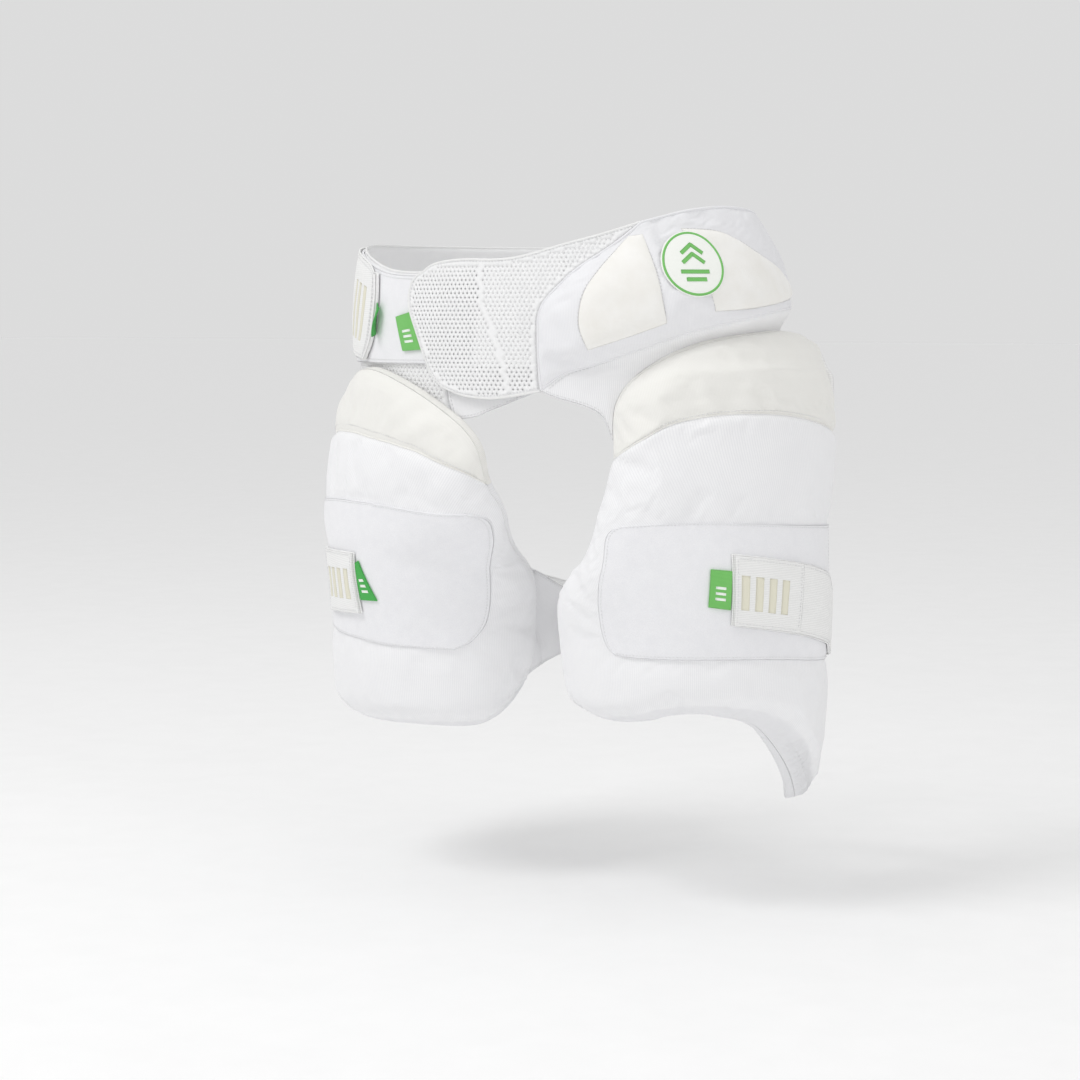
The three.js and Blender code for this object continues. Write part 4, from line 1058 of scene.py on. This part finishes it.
def hip_segment(name, part, face):
    """A crowned foam segment sewn onto the hip pad's cover."""
    edges = [part.top, part.bottom, part.start, part.end]
    rim = distance_to(*[[tuple(p) for p in e.at(np.linspace(0, 1, 9))] for e in edges])

    def crown(a, z):
        return hip_face(a, z) + 0.2 + SEGMENT_CROWN * rolled(rim(a, z), 9) + ripple(a, z, 18, 0.2)

    form = Form()
    shell(form, part, even(part.width, SEGMENT_GRID), even(part.height, SEGMENT_GRID),
          lambda a, z: hip_face(a, z) - SEGMENT_SINK, crown, LOW_BULGE)
    foam_piece = made(form, f"hip_foam_{name}", CREAM_FOAM, [f"hip_segment_{name}"])
    sewn(f"hip_foam_{name}_stitches", border(part, -2.2, lambda a, z: face(a, z) + 0.4, 0.1),
         "foam")


# The badge: its place and radius, and how far its face drops at each radius
BADGE, BADGE_RADIUS = hip((62, 0.665))[0], 26
BADGE_PROFILE = [(0.01, 0), (5, 0), (10, 0), (14, 0), (18, 0), (21, 0), (23.5, 0), (25, 0.05), (25.7, 0.25),
                 (BADGE_RADIUS, 0.7)]
BADGE_LIFT, BADGE_RISE, BADGE_SINK, BADGE_SIDES = 2.2, 1, 0.6, 96
RING_RADIUS, STROKE_WIDTH, STROKE_RISE, STROKE_COUNT = 24.2, 2.8, 0.45, 26

# Two chevrons and two bars
STROKES = [
    [(-9, 8), (0, 15), (9, 8)], [(-9, 0.5), (0, 7.5), (9, 0.5)],
    [(-11.5, -6.5), (11.5, -6.5)], [(-8, -12.5), (8, -12.5)],
]


def badge(over):
    """A round badge with a raised ring, and plain chevrons and bars inside it."""
    angle0, z0 = BADGE
    per_degree = np.linalg.norm(raised(1, angle0 + 0.5, z0, 20.0) - raised(1, angle0 - 0.5, z0, 20.0))
    radii, drop = np.array(BADGE_PROFILE).T
    turn = np.linspace(0, 2 * math.pi, BADGE_SIDES + 1)[:-1]
    x, y = radii[:, None] * np.cos(turn), radii[:, None] * np.sin(turn)
    angle, z = angle0 + x / per_degree, z0 + y
    level = over(angle, z)
    top = raised(1, angle, z, level + BADGE_RISE - drop[:, None])
    low = raised(1, angle, z, level - BADGE_SINK)
    size = len(radii) * len(turn)
    index = np.arange(size).reshape(len(radii), len(turn))
    nxt = np.roll(index, -1, 1)
    quads = np.stack([index[:-1], index[1:], nxt[1:], nxt[:-1]], -1).reshape(-1, 4)
    wall = np.stack([index[-1], index[-1] + size, nxt[-1] + size, nxt[-1]], -1)
    caps = [index[0][::-1].tolist(), (index[0] + size).tolist()]
    faces = quads[:, ::-1].tolist() + (quads + size).tolist() + wall[:, ::-1].tolist() + caps
    flat = np.stack([x, y], -1).reshape(-1, 2)
    form = Form()
    form.add(np.concatenate([top, low]).reshape(-1, 3), np.concatenate([flat, flat]), faces)
    made(form, "badge_disc", BADGE_WHITE, ["hip_badge"])

    form = Form()
    a, h = angle0 + RING_RADIUS * np.cos(turn) / per_degree, z0 + RING_RADIUS * np.sin(turn)
    tube(form, raised(1, a, h, over(a, h) + 1.0), outward(1, a, h), 1.0, 0.45, closed=True)
    offsets = np.linspace(-STROKE_WIDTH / 2, STROKE_WIDTH / 2, 5)
    for line in STROKES:
        runs = [np.linspace(line[k], line[k + 1], STROKE_COUNT, endpoint=k == len(line) - 2)
                for k in range(len(line) - 1)]
        centre = np.concatenate(runs)
        step = np.gradient(centre, axis=0)
        step /= np.linalg.norm(step, axis=1, keepdims=True)
        side = np.stack([-step[:, 1], step[:, 0]], -1)
        grid = centre[None] + side[None] * offsets[:, None, None]
        a, h = angle0 + grid[..., 0] / per_degree, z0 + grid[..., 1]
        surface = over(a, h) + 0.9
        shell_of(form, 1, a, h, surface, surface + STROKE_RISE, 0.8, 2)
    made(form, "badge_motif", BADGE_GREEN)


class PadShape:
    """One thigh pad: its outlines, and the height of its face anywhere."""

    def __init__(self, side, place, across, down, lean, press, cap_top, cap_seam, inner, low, outer):
        self.side, self.place = side, place
        self.top, self.seam, self.inside, self.bottom, self.outside = (
            place(*rows) for rows in (cap_top, cap_seam, inner, low, outer))
        ends = [[self.top[0], self.seam[0]], [self.top[-1], self.seam[-1]]]
        self.from_edge = distance_to(self.top, ends[0], self.inside, self.bottom, self.outside, ends[1])
        self.across, self.down, self.lean = column(across), column(down), column(lean)
        self.strap_rise = PAD_THICKNESS * (1 + self.lean(press[1]))
        (_, self.z_top), (_, self.z_low) = place((0, 0), (0, 1))
        self.press_angle, self.press_height = place(press)[0]
        self.details = self.gathers = lambda angle, z: 0 * angle

    def plain(self, angle, z):
        share = (z - self.z_top) / (self.z_low - self.z_top)
        reach = smooth(angle, self.press_angle - PRESS_REACH, self.press_angle)
        pressed = STRAP_PRESS * reach * bump(z - self.press_height, STRAP_WIDTH * PRESS_SPREAD)
        leaning = 1 + self.lean(share) * smooth(angle, LEAN_FROM, LEAN_FULL)
        full = PAD_THICKNESS * self.across(angle) * self.down(share) * leaning - pressed
        risen = rolled(self.from_edge(angle, z) + self.gathers(angle, z), PAD_ROLL)
        return layer(1) + PAD_EDGE + np.maximum(0, full - PAD_EDGE) * risen

    def face(self, angle, z):
        return self.plain(angle, z) + self.details(angle, z)


CAP_RIM = {"top": 0.6, "bottom": 0, "start": 0.6, "end": 0.6}
BODY_RIM = {"top": 0, "bottom": 0.8, "start": 0.6, "end": 0.8}
SEAM_GAP, PAD_GRIDS, PAD_RINGS = 0.15, (6, 2.6), 5


def thigh_pad(leg, shape, strip, sewn_down):
    """The cap and the body of one pad.

    `strip` says where the body's lower edge strip lies, and `sewn_down` where other pieces hold the cover.
    """
    above, below = shifted(shape.seam, 0, SEAM_GAP), shifted(shape.seam, 0, -SEAM_GAP)
    cap = Patch(shape.side, shape.top, above)
    body = Patch(shape.side, below, shape.bottom,
                 [below[0], *shape.inside[1:]], [below[-1], *shape.outside[1:]])
    parts = (
        (cap, CAP_SWELL, "cap_cover", CREAM_STRETCH, "cream_stretch", "pad_cap", CAP_RIM, None),
        (body, PAD_SWELL, "pad_cover", PAD_KNIT, "white_knit", "pad", BODY_RIM, strip),
    )
    for patch, most, name, material, slot, node, rim, marked in parts:
        form = Form()
        swollen(form, patch, layer(1), shape.face, rim, PAD_RINGS, PAD_GRIDS, most, sewn_down, marked)
        made(form, f"{leg}_{name}", material, [f"{leg}_{node}"])
    line = [spaced(cap, (0.01, 0.99), (1, 1), shape.face, 0.1)]
    corded(f"{leg}_cap_seam", line, 0.8, 0.7, CREAM_STRETCH)
    rows = [spaced(cap, (0.02, 0.98), (1 - 3 / cap.height,) * 2, shape.face, 0.3)]
    sewn(f"{leg}_cap_stitches", rows, "seam")


STRAP_FALL = column([(-14, 1), (-6, 0.93), (-3, 0.84), (0, 0.7), (4, 0.49), (12, 0.26), (22, 0.1),
                     (34, 0.02), (45, 0)])
STRAP_LEAVES, STRAP_FREE = 22, 8


def strap_surface(shape, edge_angle):
    def at(angle, z):
        over = layer(1) + shape.strap_rise + STRAP_LIFT - layer(0)
        fall = layer(0) + over * STRAP_FALL(angle - edge_angle)
        on_face = shape.face(angle, z) + STRAP_LIFT
        leaving = smooth(angle, edge_angle - STRAP_LEAVES, edge_angle - STRAP_FREE)
        near = mix(on_face, np.maximum(on_face, fall), leaving)
        return np.where(angle > edge_angle, fall, near)

    return at


def strap_patch(side, middle, first, last):
    line = Edge(middle)
    run = [tuple(p) for p in line.at(np.linspace(first, last, 13))]
    half = STRAP_WIDTH / 2
    return Patch(side, shifted(run, STRAP_SLANT, half), shifted(run, -STRAP_SLANT, -half))


def held_places(shape, fastening, edge_angle, *more):
    loop = Patch(shape.side, **{name: shape.place(*rows) for name, rows in fastening["loop"].items()})
    middle = [place for place in shape.place(*fastening["middle"]) if place[0] < edge_angle + 30]
    return covered(5, loop, strap_patch(shape.side, middle, 0, 1), *more)


LABEL_THICKNESS, WRAP_THICKNESS, STRAP_STRETCH = 1.1, 1.8, 1.05


def leg_fastening(leg, shape, edge_angle, loop, middle, patch_share, tab_start, tab_end, wrap_top,
                  wrap_low, tab_material, bar_spans, wrap_folds):
    """The loop panel, the strap with its label and green tab, and the wrap of one leg."""
    side = shape.side
    surface = strap_surface(shape, edge_angle)
    loop_patch = Patch(side, **{name: shape.place(*rows) for name, rows in loop.items()})
    loop_face = lambda a, z: shape.face(a, z) + LOOP_LIFT + LOOP_THICKNESS
    flat_sheet(f"{leg}_loop_panel", loop_patch, lambda a, z: shape.face(a, z) - 0.4, loop_face,
               LOOP_PILE, 3.0, f"{leg}_loop_face")
    sewn(f"{leg}_loop_stitches", border(loop_patch, 2.6, loop_face, 0.05), "strap")

    middle = shape.place(*middle)
    strap = strap_patch(side, middle, 0, 1)
    weave = lambda a, z: surface(a, z) + STRAP_THICKNESS + ripple(a, z, 16, 0.2)
    flat_sheet(f"{leg}_strap_band", strap, surface, weave, STRAP_WEB, 3.0,
               f"{leg}_strap", STRAP_STRETCH)
    label = strap_patch(side, middle, 0.002, patch_share)
    top = lambda a, z: weave(a, z) + LABEL_THICKNESS
    flat_sheet(f"{leg}_strap_label", label, weave, top, STRAP_WEB, 2.4,
               f"{leg}_strap_patch")
    rows = border(label, 2.2, top, 0.05) + border(strap, 2.0, weave, 0.05, "top,bottom")
    sewn(f"{leg}_strap_stitches", rows, "strap")
    bars(f"{leg}_strap_bars", label, bar_spans, top, LABEL_BAR, BEIGE_PRINT)

    green = rect(side, shape.place(*tab_start), shape.place(*tab_end))
    tab(f"{leg}_tab", f"{leg}_strap_tab", green, surface, tab_material)

    wrap = Patch(side, shape.place(*wrap_top), shape.place(*wrap_low))
    skin = lambda a, z: layer(0) + WRAP_THICKNESS + wrap_folds(a, z) + ripple(a, z, 20, 0.3)
    flat_sheet(f"{leg}_wrap_cloth", wrap, constant(layer(0) - 0.4), skin, WHITE_KNIT, 3.0,
               f"{leg}_wrap", STRAP_STRETCH)
    sewn(f"{leg}_wrap_stitches", border(wrap, 2.0, skin, 0.1), "wrap")


def edge_strip(shape, reach):
    """Where a pad's lower edge strip lies: within `reach` of its lower outline."""
    away = distance_to(shape.bottom)
    return lambda a, z: 1 - smooth(away(a, z) - reach(a), -1.2, 0.6)


LEFT = PadShape(
    1, left,
    across=[(-62, 0.2), (-40, 0.3), (-20, 0.58), (0, 0.84), (20, 0.98), (45, 1), (110, 1), (124, 0.95),
            (138, 0.8)],
    down=[(0, 0.75), (0.09, 0.86), (0.21, 0.96), (0.35, 1), (0.9, 1), (1.25, 0.85)],
    lean=[(0, 0.1), (0.2, 0.13), (0.33, 0.04), (0.45, -0.14), (0.62, -0.34), (1, -0.34), (1.25, -0.15)],
    press=(124, 0.77),
    cap_top=[(36.5, 0.27), (38, 0.2), (40, 0.157), (43, 0.119), (48, 0.08), (56, 0.042), (68, 0.013),
             (85, 0), (110, 0.005), (138, 0.07)],
    cap_seam=[(35, 0.315), (44, 0.263), (50, 0.231), (57, 0.215), (65, 0.208), (77, 0.212), (89, 0.228),
              (110, 0.27), (139, 0.31)],
    inner=[(35, 0.315), (24, 0.423), (10, 0.513), (-14, 0.612), (-40, 0.7), (-58, 0.79), (-63, 0.87),
           (-61, 0.94)],
    low=[(-61, 0.94), (-45, 0.975), (-27, 0.988), (-7, 1.003), (12, 0.994), (24, 0.978), (38, 0.974),
         (49, 0.984), (59, 0.997), (68, 1.022), (78, 1.07), (90, 1.131), (106, 1.205), (122, 1.253),
         (132, 1.23), (137, 1.15)],
    outer=[(139, 0.31), (141, 0.6), (141, 0.9), (137, 1.15)],
)
RIGHT = PadShape(
    -1, right,
    across=[(-62, 0.3), (-45, 0.5), (-20, 0.8), (5, 1), (60, 1), (85, 0.95), (102, 0.8)],
    down=[(0, 0.38), (0.2, 0.58), (0.33, 0.83), (0.46, 1), (0.9, 1), (1, 0.93)],
    lean=[(0, 0), (1, 0)],
    press=(56, 0.6),
    cap_top=[(-12.2, 0.279), (-10, 0.252), (-5, 0.186), (1, 0.131), (11, 0.072), (20, 0.033), (29, 0.007),
             (37, 0), (46, 0.015), (61, 0.075), (75, 0.14), (88, 0.2), (99, 0.27)],
    cap_seam=[(-13.6, 0.291), (-9, 0.265), (-5, 0.246), (3, 0.222), (13, 0.198), (29, 0.181),
              (41, 0.175), (60, 0.19), (80, 0.25), (101, 0.36)],
    inner=[(-13.6, 0.291), (-20, 0.338), (-33, 0.425), (-49, 0.51), (-58, 0.58), (-62, 0.68), (-62, 0.8),
           (-57, 0.88)],
    low=[(-57, 0.88), (-50, 0.935), (-41, 0.975), (-29, 0.993), (0, 0.995), (25, 1.003), (50, 1.007),
         (78, 1), (95, 0.965)],
    outer=[(101, 0.36), (103, 0.6), (102, 0.85), (95, 0.965)],
)


# The angles between which the groove and piping of a pad's edge strip fade out, and their depth
PIPING_ENDS, PIPING_DEPTH = (62, 84), 0.9


def pad_details(shape, folds, ridges, strip_reach):
    """Seams, creases and swells on a pad's face."""
    seam = distance_to(shape.seam)
    low = distance_to(shape.bottom)
    creases = [fold(*f) for f in folds]
    crests = [(distance_to(places), height, width) for places, height, width in ridges]

    def at(a, z):
        from_seam = seam(a, z)
        total = -1.1 * bump(from_seam, 1.8) + 0.7 * bump(from_seam - 8, 6)
        total = total + ripple(a, z, 34, 0.55) + ripple(a, z, 13, 0.12)
        for crease in creases:
            total = total + crease(a, z)
        for away, height, width in crests:
            total = total + height * bump(away(a, z), width)
        piping = low(a, z) - strip_reach(a)
        shown = 1 - smooth(a, *PIPING_ENDS)
        groove, cord = PIPING_DEPTH * bump(piping + 1.8, 1.2), PIPING_DEPTH * bump(piping - 0.6, 1.3)
        return total - shown * (groove - cord)

    def gathers(a, z):
        from_low = low(a, z)
        along = np.sin((a * MM_PER_DEGREE - z) * 0.6 + 1.5 * np.sin(z * 0.05))
        deep = 0.3 + 1.1 * smooth(a, 70, 95)
        return deep * along * smooth(strip_reach(a) - from_low, -1, 4) * smooth(from_low, 0, 3)

    shape.details, shape.gathers = at, gathers


# Where each strap leaves its pad's outer edge, and how far the corner loop bows out
LEFT_EDGE, RIGHT_EDGE, LOOP_BOW = 140, 102, 3.5


def left_leg():
    reach = column([(-61, 4), (-10, 6), (20, 11), (45, 12), (60, 11), (80, 13), (110, 15), (137, 13)])
    pad_details(
        LEFT,
        [([(44, -94), (39, -114), (33, -131), (28, -148)], 1.5, 4.5),
         ([(56, -99), (46, -119), (35, -141), (22, -165)], 1.3, 5.5),
         ([(46, -59), (50, -54), (61, -48), (73, -47), (99, -49), (122, -58)], 1.7, 4.5),
         ([(112, -40), (106, -52), (104, -66)], 0.9, 2.6),
         ([(120, -44), (115, -58), (114, -76)], 0.9, 2.6),
         ([(128, -52), (124, -66), (124, -84)], 0.8, 2.6)],
        [([(46, -66), (50, -61), (61, -56), (73, -55), (99, -57), (122, -66)], 1.1, 4.0),
         ([(46, -80), (50, -76), (61, -70), (73, -69), (99, -71), (122, -80)], 1.6, 12)],
        reach,
    )
    fastening = dict(
        loop=dict(
            top=[(27, 0.481), (48, 0.488), (81, 0.51), (118, 0.53)],
            bottom=[(5, 0.804), (10.7, 0.809), (31, 0.811), (59, 0.817), (87, 0.837), (118, 0.86)],
            start=[(27, 0.481), (23.5, 0.485), (20, 0.499), (16.4, 0.524), (9.5, 0.587), (3.8, 0.665),
                   (1.5, 0.735), (2.2, 0.78), (5, 0.804)],
            end=[(118, 0.53), (118, 0.86)],
        ),
        middle=[(49.5, 0.646), (74, 0.68), (100, 0.73), (124, 0.77), (150, 0.8), (180, 0.82),
                (STRAP_END, 0.83)],
        patch_share=0.152,
        tab_start=[(44, 0.596), (40.5, 0.679)],
        tab_end=[(50.4, 0.603), (47.3, 0.689)],
        wrap_top=[(218, 0.75), (250, 0.77), (280, 0.79), (302, 0.8), (312, 0.79)],
        wrap_low=[(213, 0.91), (250, 0.925), (280, 0.935), (312, 0.94)],
    )
    top, low = left((119, 0.045), (128, 0.065)), left((120, 0.2), (129, 0.21))
    patch = Patch(1, top, low)
    thigh_pad("left", LEFT, edge_strip(LEFT, reach), held_places(LEFT, fastening, LEFT_EDGE, patch))
    leg_fastening("left", LEFT, LEFT_EDGE, **fastening, tab_material=GREEN_LIGHT,
                  bar_spans=[(k, k + 0.11, 0.27, 0.76) for k in (0.08, 0.27, 0.46, 0.65)],
                  wrap_folds=fold(left((240, 0.8), (270, 0.86), (300, 0.88)), 0.6, 5))
    z_top, z_low = top[0][1], low[0][1]
    bow = lambda z: LOOP_BOW * np.sin(math.pi * np.clip((z_top - z) / (z_top - z_low), 0, 1))
    top_face = lambda a, z: LEFT.face(a, z) + 2.3 + bow(z)
    flat_sheet("corner_loop", patch, lambda a, z: LEFT.face(a, z) + 0.2, top_face,
               STRAP_WEB, 2.0, "left_corner_loop")
    rows = [spaced(patch, (0.1, 0.9), (t, t), top_face, 0.1) for t in (0.06, 0.94)]
    sewn("corner_loop_stitches", rows, "loop")


def right_leg():
    reach = column([(-57, 5), (-30, 7), (0, 8), (50, 8), (95, 6)])
    pad_details(
        RIGHT,
        [([(10, -116), (3, -127), (-5, -137), (-14, -152), (-23, -168)], 1.4, 5),
         ([(8, -152), (4, -154), (-10, -162), (-23, -174)], 1.2, 4),
         ([(38, -165), (25, -161), (19, -164)], 0.8, 3)],
        [],
        reach,
    )
    fastening = dict(
        loop=dict(
            top=[(-13, 0.345), (0, 0.345), (31, 0.35), (80, 0.38)],
            bottom=[(-25, 0.762), (0, 0.75), (30, 0.735), (80, 0.73)],
            start=[(-13, 0.345), (-19, 0.36), (-25, 0.397), (-29, 0.435), (-34, 0.5), (-37.5, 0.6),
                   (-37.5, 0.67), (-35, 0.715), (-31, 0.745), (-25, 0.762)],
            end=[(80, 0.38), (80, 0.73)],
        ),
        middle=[(14.5, 0.575), (29, 0.585), (56, 0.602), (90, 0.632), (120, 0.662), (150, 0.692),
                (180, 0.722), (STRAP_END, 0.742)],
        patch_share=0.125,
        tab_start=[(14.2, 0.517), (4.5, 0.613)],
        tab_end=[(15.7, 0.523), (12.4, 0.618)],
        wrap_top=[(218, 0.66), (240, 0.665), (262, 0.66), (283, 0.61), (302, 0.557), (312, 0.545)],
        wrap_low=[(213, 0.823), (240, 0.81), (262, 0.801), (276, 0.81), (290, 0.833), (304, 0.88),
                  (312, 0.895)],
    )
    thigh_pad("right", RIGHT, edge_strip(RIGHT, reach), held_places(RIGHT, fastening, RIGHT_EDGE))
    wrap_seam = distance_to([(302, -229), (301, -255), (296, -282), (290, -301), (291, -312)])

    def seam_fold(a, z):
        away = wrap_seam(a, z)
        return -0.9 * bump(away, 1.4) + 0.7 * bump(away - 3, 2)

    # The right tab stands out and faces away from the light, so its green has painted shade.
    leg_fastening("right", RIGHT, RIGHT_EDGE, **fastening, tab_material=GREEN_PAINTED_SHADE,
                  bar_spans=[(k, k + 0.12, 0.27, 0.76) for k in (0.12, 0.33, 0.54, 0.75)],
                  wrap_folds=seam_fold)


def bridge():
    free = [HIP_SEAM[-1], *left((25, 0.157), (31, 0.176), (35, 0.202)), LEFT.top[0]]
    cap_height = column(LEFT.top)

    def rise(a, z):
        above, below = HIP_LOW_HEIGHT(a), cap_height(a)
        share = smooth((above - z) / (above - below), 0, 1)
        return mix(hip_face(a, above) - FABRIC, 5.0, share)

    top = shifted(HIP_LOW, SEAM_DEGREES / 2, 0.2)
    cap_side = shifted(LEFT.top, -SEAM_DEGREES, GAP)
    start = shifted(free, -SEAM_DEGREES, -GAP)
    start[-1], start[0] = cap_side[0], top[0]
    patch = Patch(1, top, cap_side, start, [top[-1], cap_side[-1]])
    folds = [fold([(31, -58), (43, -49), (54, -39)], 0.8, 3.5),
             fold([(36, -64), (46, -54), (65, -38), (93, -27)], 0.9, 4)]
    skin = lambda a, z: rise(a, z) + FABRIC + sum(f(a, z) for f in folds) + ripple(a, z, 24, 0.3)
    flat_sheet("bridge_cloth", patch, lambda a, z: rise(a, z) - 0.6, skin, WHITE_KNIT, 2.6,
               "hip_bridge")
    rows = [spaced(patch, (0.01, 0.99), (0.05, 0.05), skin, 0.1),
            spaced(patch, (0.006, 0.006), (0.02, 0.98), skin, 0.1)]
    sewn("bridge_stitches", rows, "seam")


BINDING_WIDTH, BINDING_THICKNESS = 1.8, 3
BAND_BARS = [(s, s + 0.012, 0.24, 0.8) for s in (0.03, 0.055, 0.08)]


def waist_strap():
    end_edge = belt((35, 0.96), (34, 0.66), (36, 0.26), (41, 0.03))
    top = belt((35, 0.96), (43, 1.09), (62, 1.235), (90, 1.29), (150, 1.27), (200, 1.25), (234, 1.28))
    low = belt((41, 0.03), (60, 0.1), (90, 0.23), (150, 0.31), (200, 0.3), (234, 0.36))
    strap_edge = shifted(end_edge, BINDING_WIDTH + SEAM_DEGREES)
    strap = Patch(-1, [strap_edge[0], *top[1:]], [strap_edge[-1], *low[1:]], strap_edge)
    weave = lambda a, z: layer(2) + FABRIC - 0.2 + ripple(a, z, 20, 0.2)
    flat_sheet("waist_band", strap, constant(layer(2)), weave, STRAP_WEB, 3.4,
               "waist_strap", STRAP_STRETCH)
    sewn("waist_band_stitches", border(strap, 3, weave, 0.05, "top,bottom,start"))
    bars("waist_band_bars", strap, BAND_BARS, weave, LABEL_BAR, BEIGE_PRINT)

    bound = rect(-1, end_edge, strap_edge)
    form = Form()
    height = constant(layer(2) + BINDING_THICKNESS)
    shell(form, bound, np.linspace(0, 1, 6), even(bound.height, 2.0), constant(layer(2) - 0.4), height, 1)
    made(form, "waist_band_binding", BINDING, ["waist_strap_binding"])
    sewn("binding_stitches", [spaced(bound, (0.7, 0.7), (0.02, 0.98), height, 0.1)])


def belt_back():
    top, low = belt((150.4, 1.3), (200, 1.28), (248, 1.36)), belt((150.4, 0.34), (200, 0.27), (248, 0.36))
    back = Patch(-1, top, low)
    skin = lambda a, z: layer(1) + FABRIC + ripple(a, z, 24, 0.35)
    flat_sheet("belt_back_cloth", back, constant(layer(1)), skin, WHITE_KNIT, 3.4,
               "belt_back", BELT_STRETCH)
    sewn("belt_back_stitches", border(back, 2.5, skin, 0.1))


def belt_tabs():
    tab_patch = rect(-1, belt((30.8, 0.58), (32.6, 0.28)), belt((33.4, 0.64), (34.8, 0.31)))
    first = tab_patch.start.at(0.5)[0]
    last = tab_patch.end.at(0.5)[0]
    z_top, z_low = tab_patch.top.at(0.5)[1], tab_patch.bottom.at(0.5)[1]
    rise = lambda z: 3 + 6.5 * np.clip((z_top - z) / (z_top - z_low), 0, 1)
    lifted = lambda a, z: layer(2) + rise(z) * np.clip(1 - (a - first) / (last - first), 0, 1)
    # The waist ribbon stands out from the belt, so its green has painted shade.
    tab("waist_ribbon", "waist_tab", tab_patch, lifted, GREEN_PAINTED_SHADE)

    wing = rect(-1, belt((18.1, 0.54), (13.8, 0.145)), belt((24, 0.49), (20.7, 0.13)))
    tab("wing_ribbon", "wing_tab", wing, constant(layer(2)), GREEN_LIGHT)


# Camera, floor and light
VIEW_AZIMUTH, VIEW_ELEVATION, VIEW_DISTANCE = math.radians(34), math.radians(5), 2.2
PICTURE, MM_PER_PIXEL = 1080, 0.857
ORIGIN_PIXEL = (556, 300)
SENSOR_WIDTH, CLIP_END = 36, 100

# The place, aim, size and power of each lamp
LAMPS = {
    "key": ((-0.9, -2.0, 2.3), (0, 0, -0.15), 1.3, 32),
    "side": ((2.8, -0.9, 0.7), (0.05, 0, -0.2), 1.2, 8),
}
OVERHEAD_POWER, OVERHEAD_SPREAD = 0.8, math.radians(100)

# The backdrop's strength as light, and as bright as the far floor where the camera sees it
AMBIENT, BACKDROP = 0.52, 0.718
FLOOR_SIZE, FLOOR_LEVEL = 40.0, -0.5


def camera():
    back = Vector((math.sin(VIEW_AZIMUTH) * math.cos(VIEW_ELEVATION),
                   -math.cos(VIEW_AZIMUTH) * math.cos(VIEW_ELEVATION), math.sin(VIEW_ELEVATION)))
    across = Vector((math.cos(VIEW_AZIMUTH), math.sin(VIEW_AZIMUTH), 0))
    up = back.cross(across)
    pixel = MM_PER_PIXEL * MM
    right_of, below = (PICTURE / 2 - place for place in ORIGIN_PIXEL)
    target = across * right_of * pixel - up * below * pixel
    data = bpy.data.cameras.new("camera")
    data.sensor_width = SENSOR_WIDTH
    data.lens = SENSOR_WIDTH * VIEW_DISTANCE / (pixel * PICTURE)
    data.clip_end = CLIP_END
    holder = bpy.data.objects.new("camera", data)
    turn = Matrix((across, up, back)).transposed().to_4x4()
    holder.matrix_world = Matrix.Translation(target + back * VIEW_DISTANCE) @ turn
    COLLECTION.objects.link(holder)
    bpy.context.scene.camera = holder


def lamp(name, place, aim, size, power):
    data = bpy.data.lights.new(name, "AREA")
    data.size, data.energy = size, power
    holder = bpy.data.objects.new(name, data)
    holder.location = place
    holder.rotation_euler = (Vector(aim) - Vector(place)).to_track_quat("-Z", "Y").to_euler()
    COLLECTION.objects.link(holder)


def backdrop():
    world = bpy.data.worlds.new("studio")
    bpy.context.scene.world = world
    world.use_nodes = True
    tree = world.node_tree
    ground = tree.nodes["Background"]
    ground.inputs["Color"].default_value = (1, 1, 1, 1)
    seen = tree.nodes.new("ShaderNodeLightPath").outputs["Is Camera Ray"]
    strength = tree.nodes.new("ShaderNodeMapRange")
    strength.inputs["To Min"].default_value = AMBIENT
    strength.inputs["To Max"].default_value = BACKDROP
    tree.links.new(seen, strength.inputs["Value"])
    tree.links.new(strength.outputs["Result"], ground.inputs["Strength"])


def studio():
    bpy.context.scene.view_settings.view_transform = "Standard"
    for name, settings in LAMPS.items():
        lamp(name, *settings)
    overhead = bpy.data.lights.new("overhead", "SUN")
    overhead.energy, overhead.angle = OVERHEAD_POWER, OVERHEAD_SPREAD
    COLLECTION.objects.link(bpy.data.objects.new("overhead", overhead))
    backdrop()
    mesh = bpy.data.meshes.new("floor")
    turns = ((-1, -1), (1, -1), (1, 1), (-1, 1))
    corners = [(x * FLOOR_SIZE, y * FLOOR_SIZE, FLOOR_LEVEL) for x, y in turns]
    mesh.from_pydata(corners, [], [(0, 1, 2, 3)])
    n = Nodes("floor", 0.7)
    tone = n.ramp(n.noise(40, 2), 0.3, 0.7, 0, 1)
    base = n.blend(tone, colour("FAFAFA"), colour("F8F8F8"))
    mesh.materials.append(n.finish(base, n.relief(n.noise(4, 3), 0.05, 0.3)))
    floor = bpy.data.objects.new("floor", mesh)
    COLLECTION.objects.link(floor)


camera()
right_belt()
front_wing()
hip_pad()
left_leg()
right_leg()
bridge()
waist_strap()
belt_back()
belt_tabs()
studio()

bpy.context.view_layer.update()
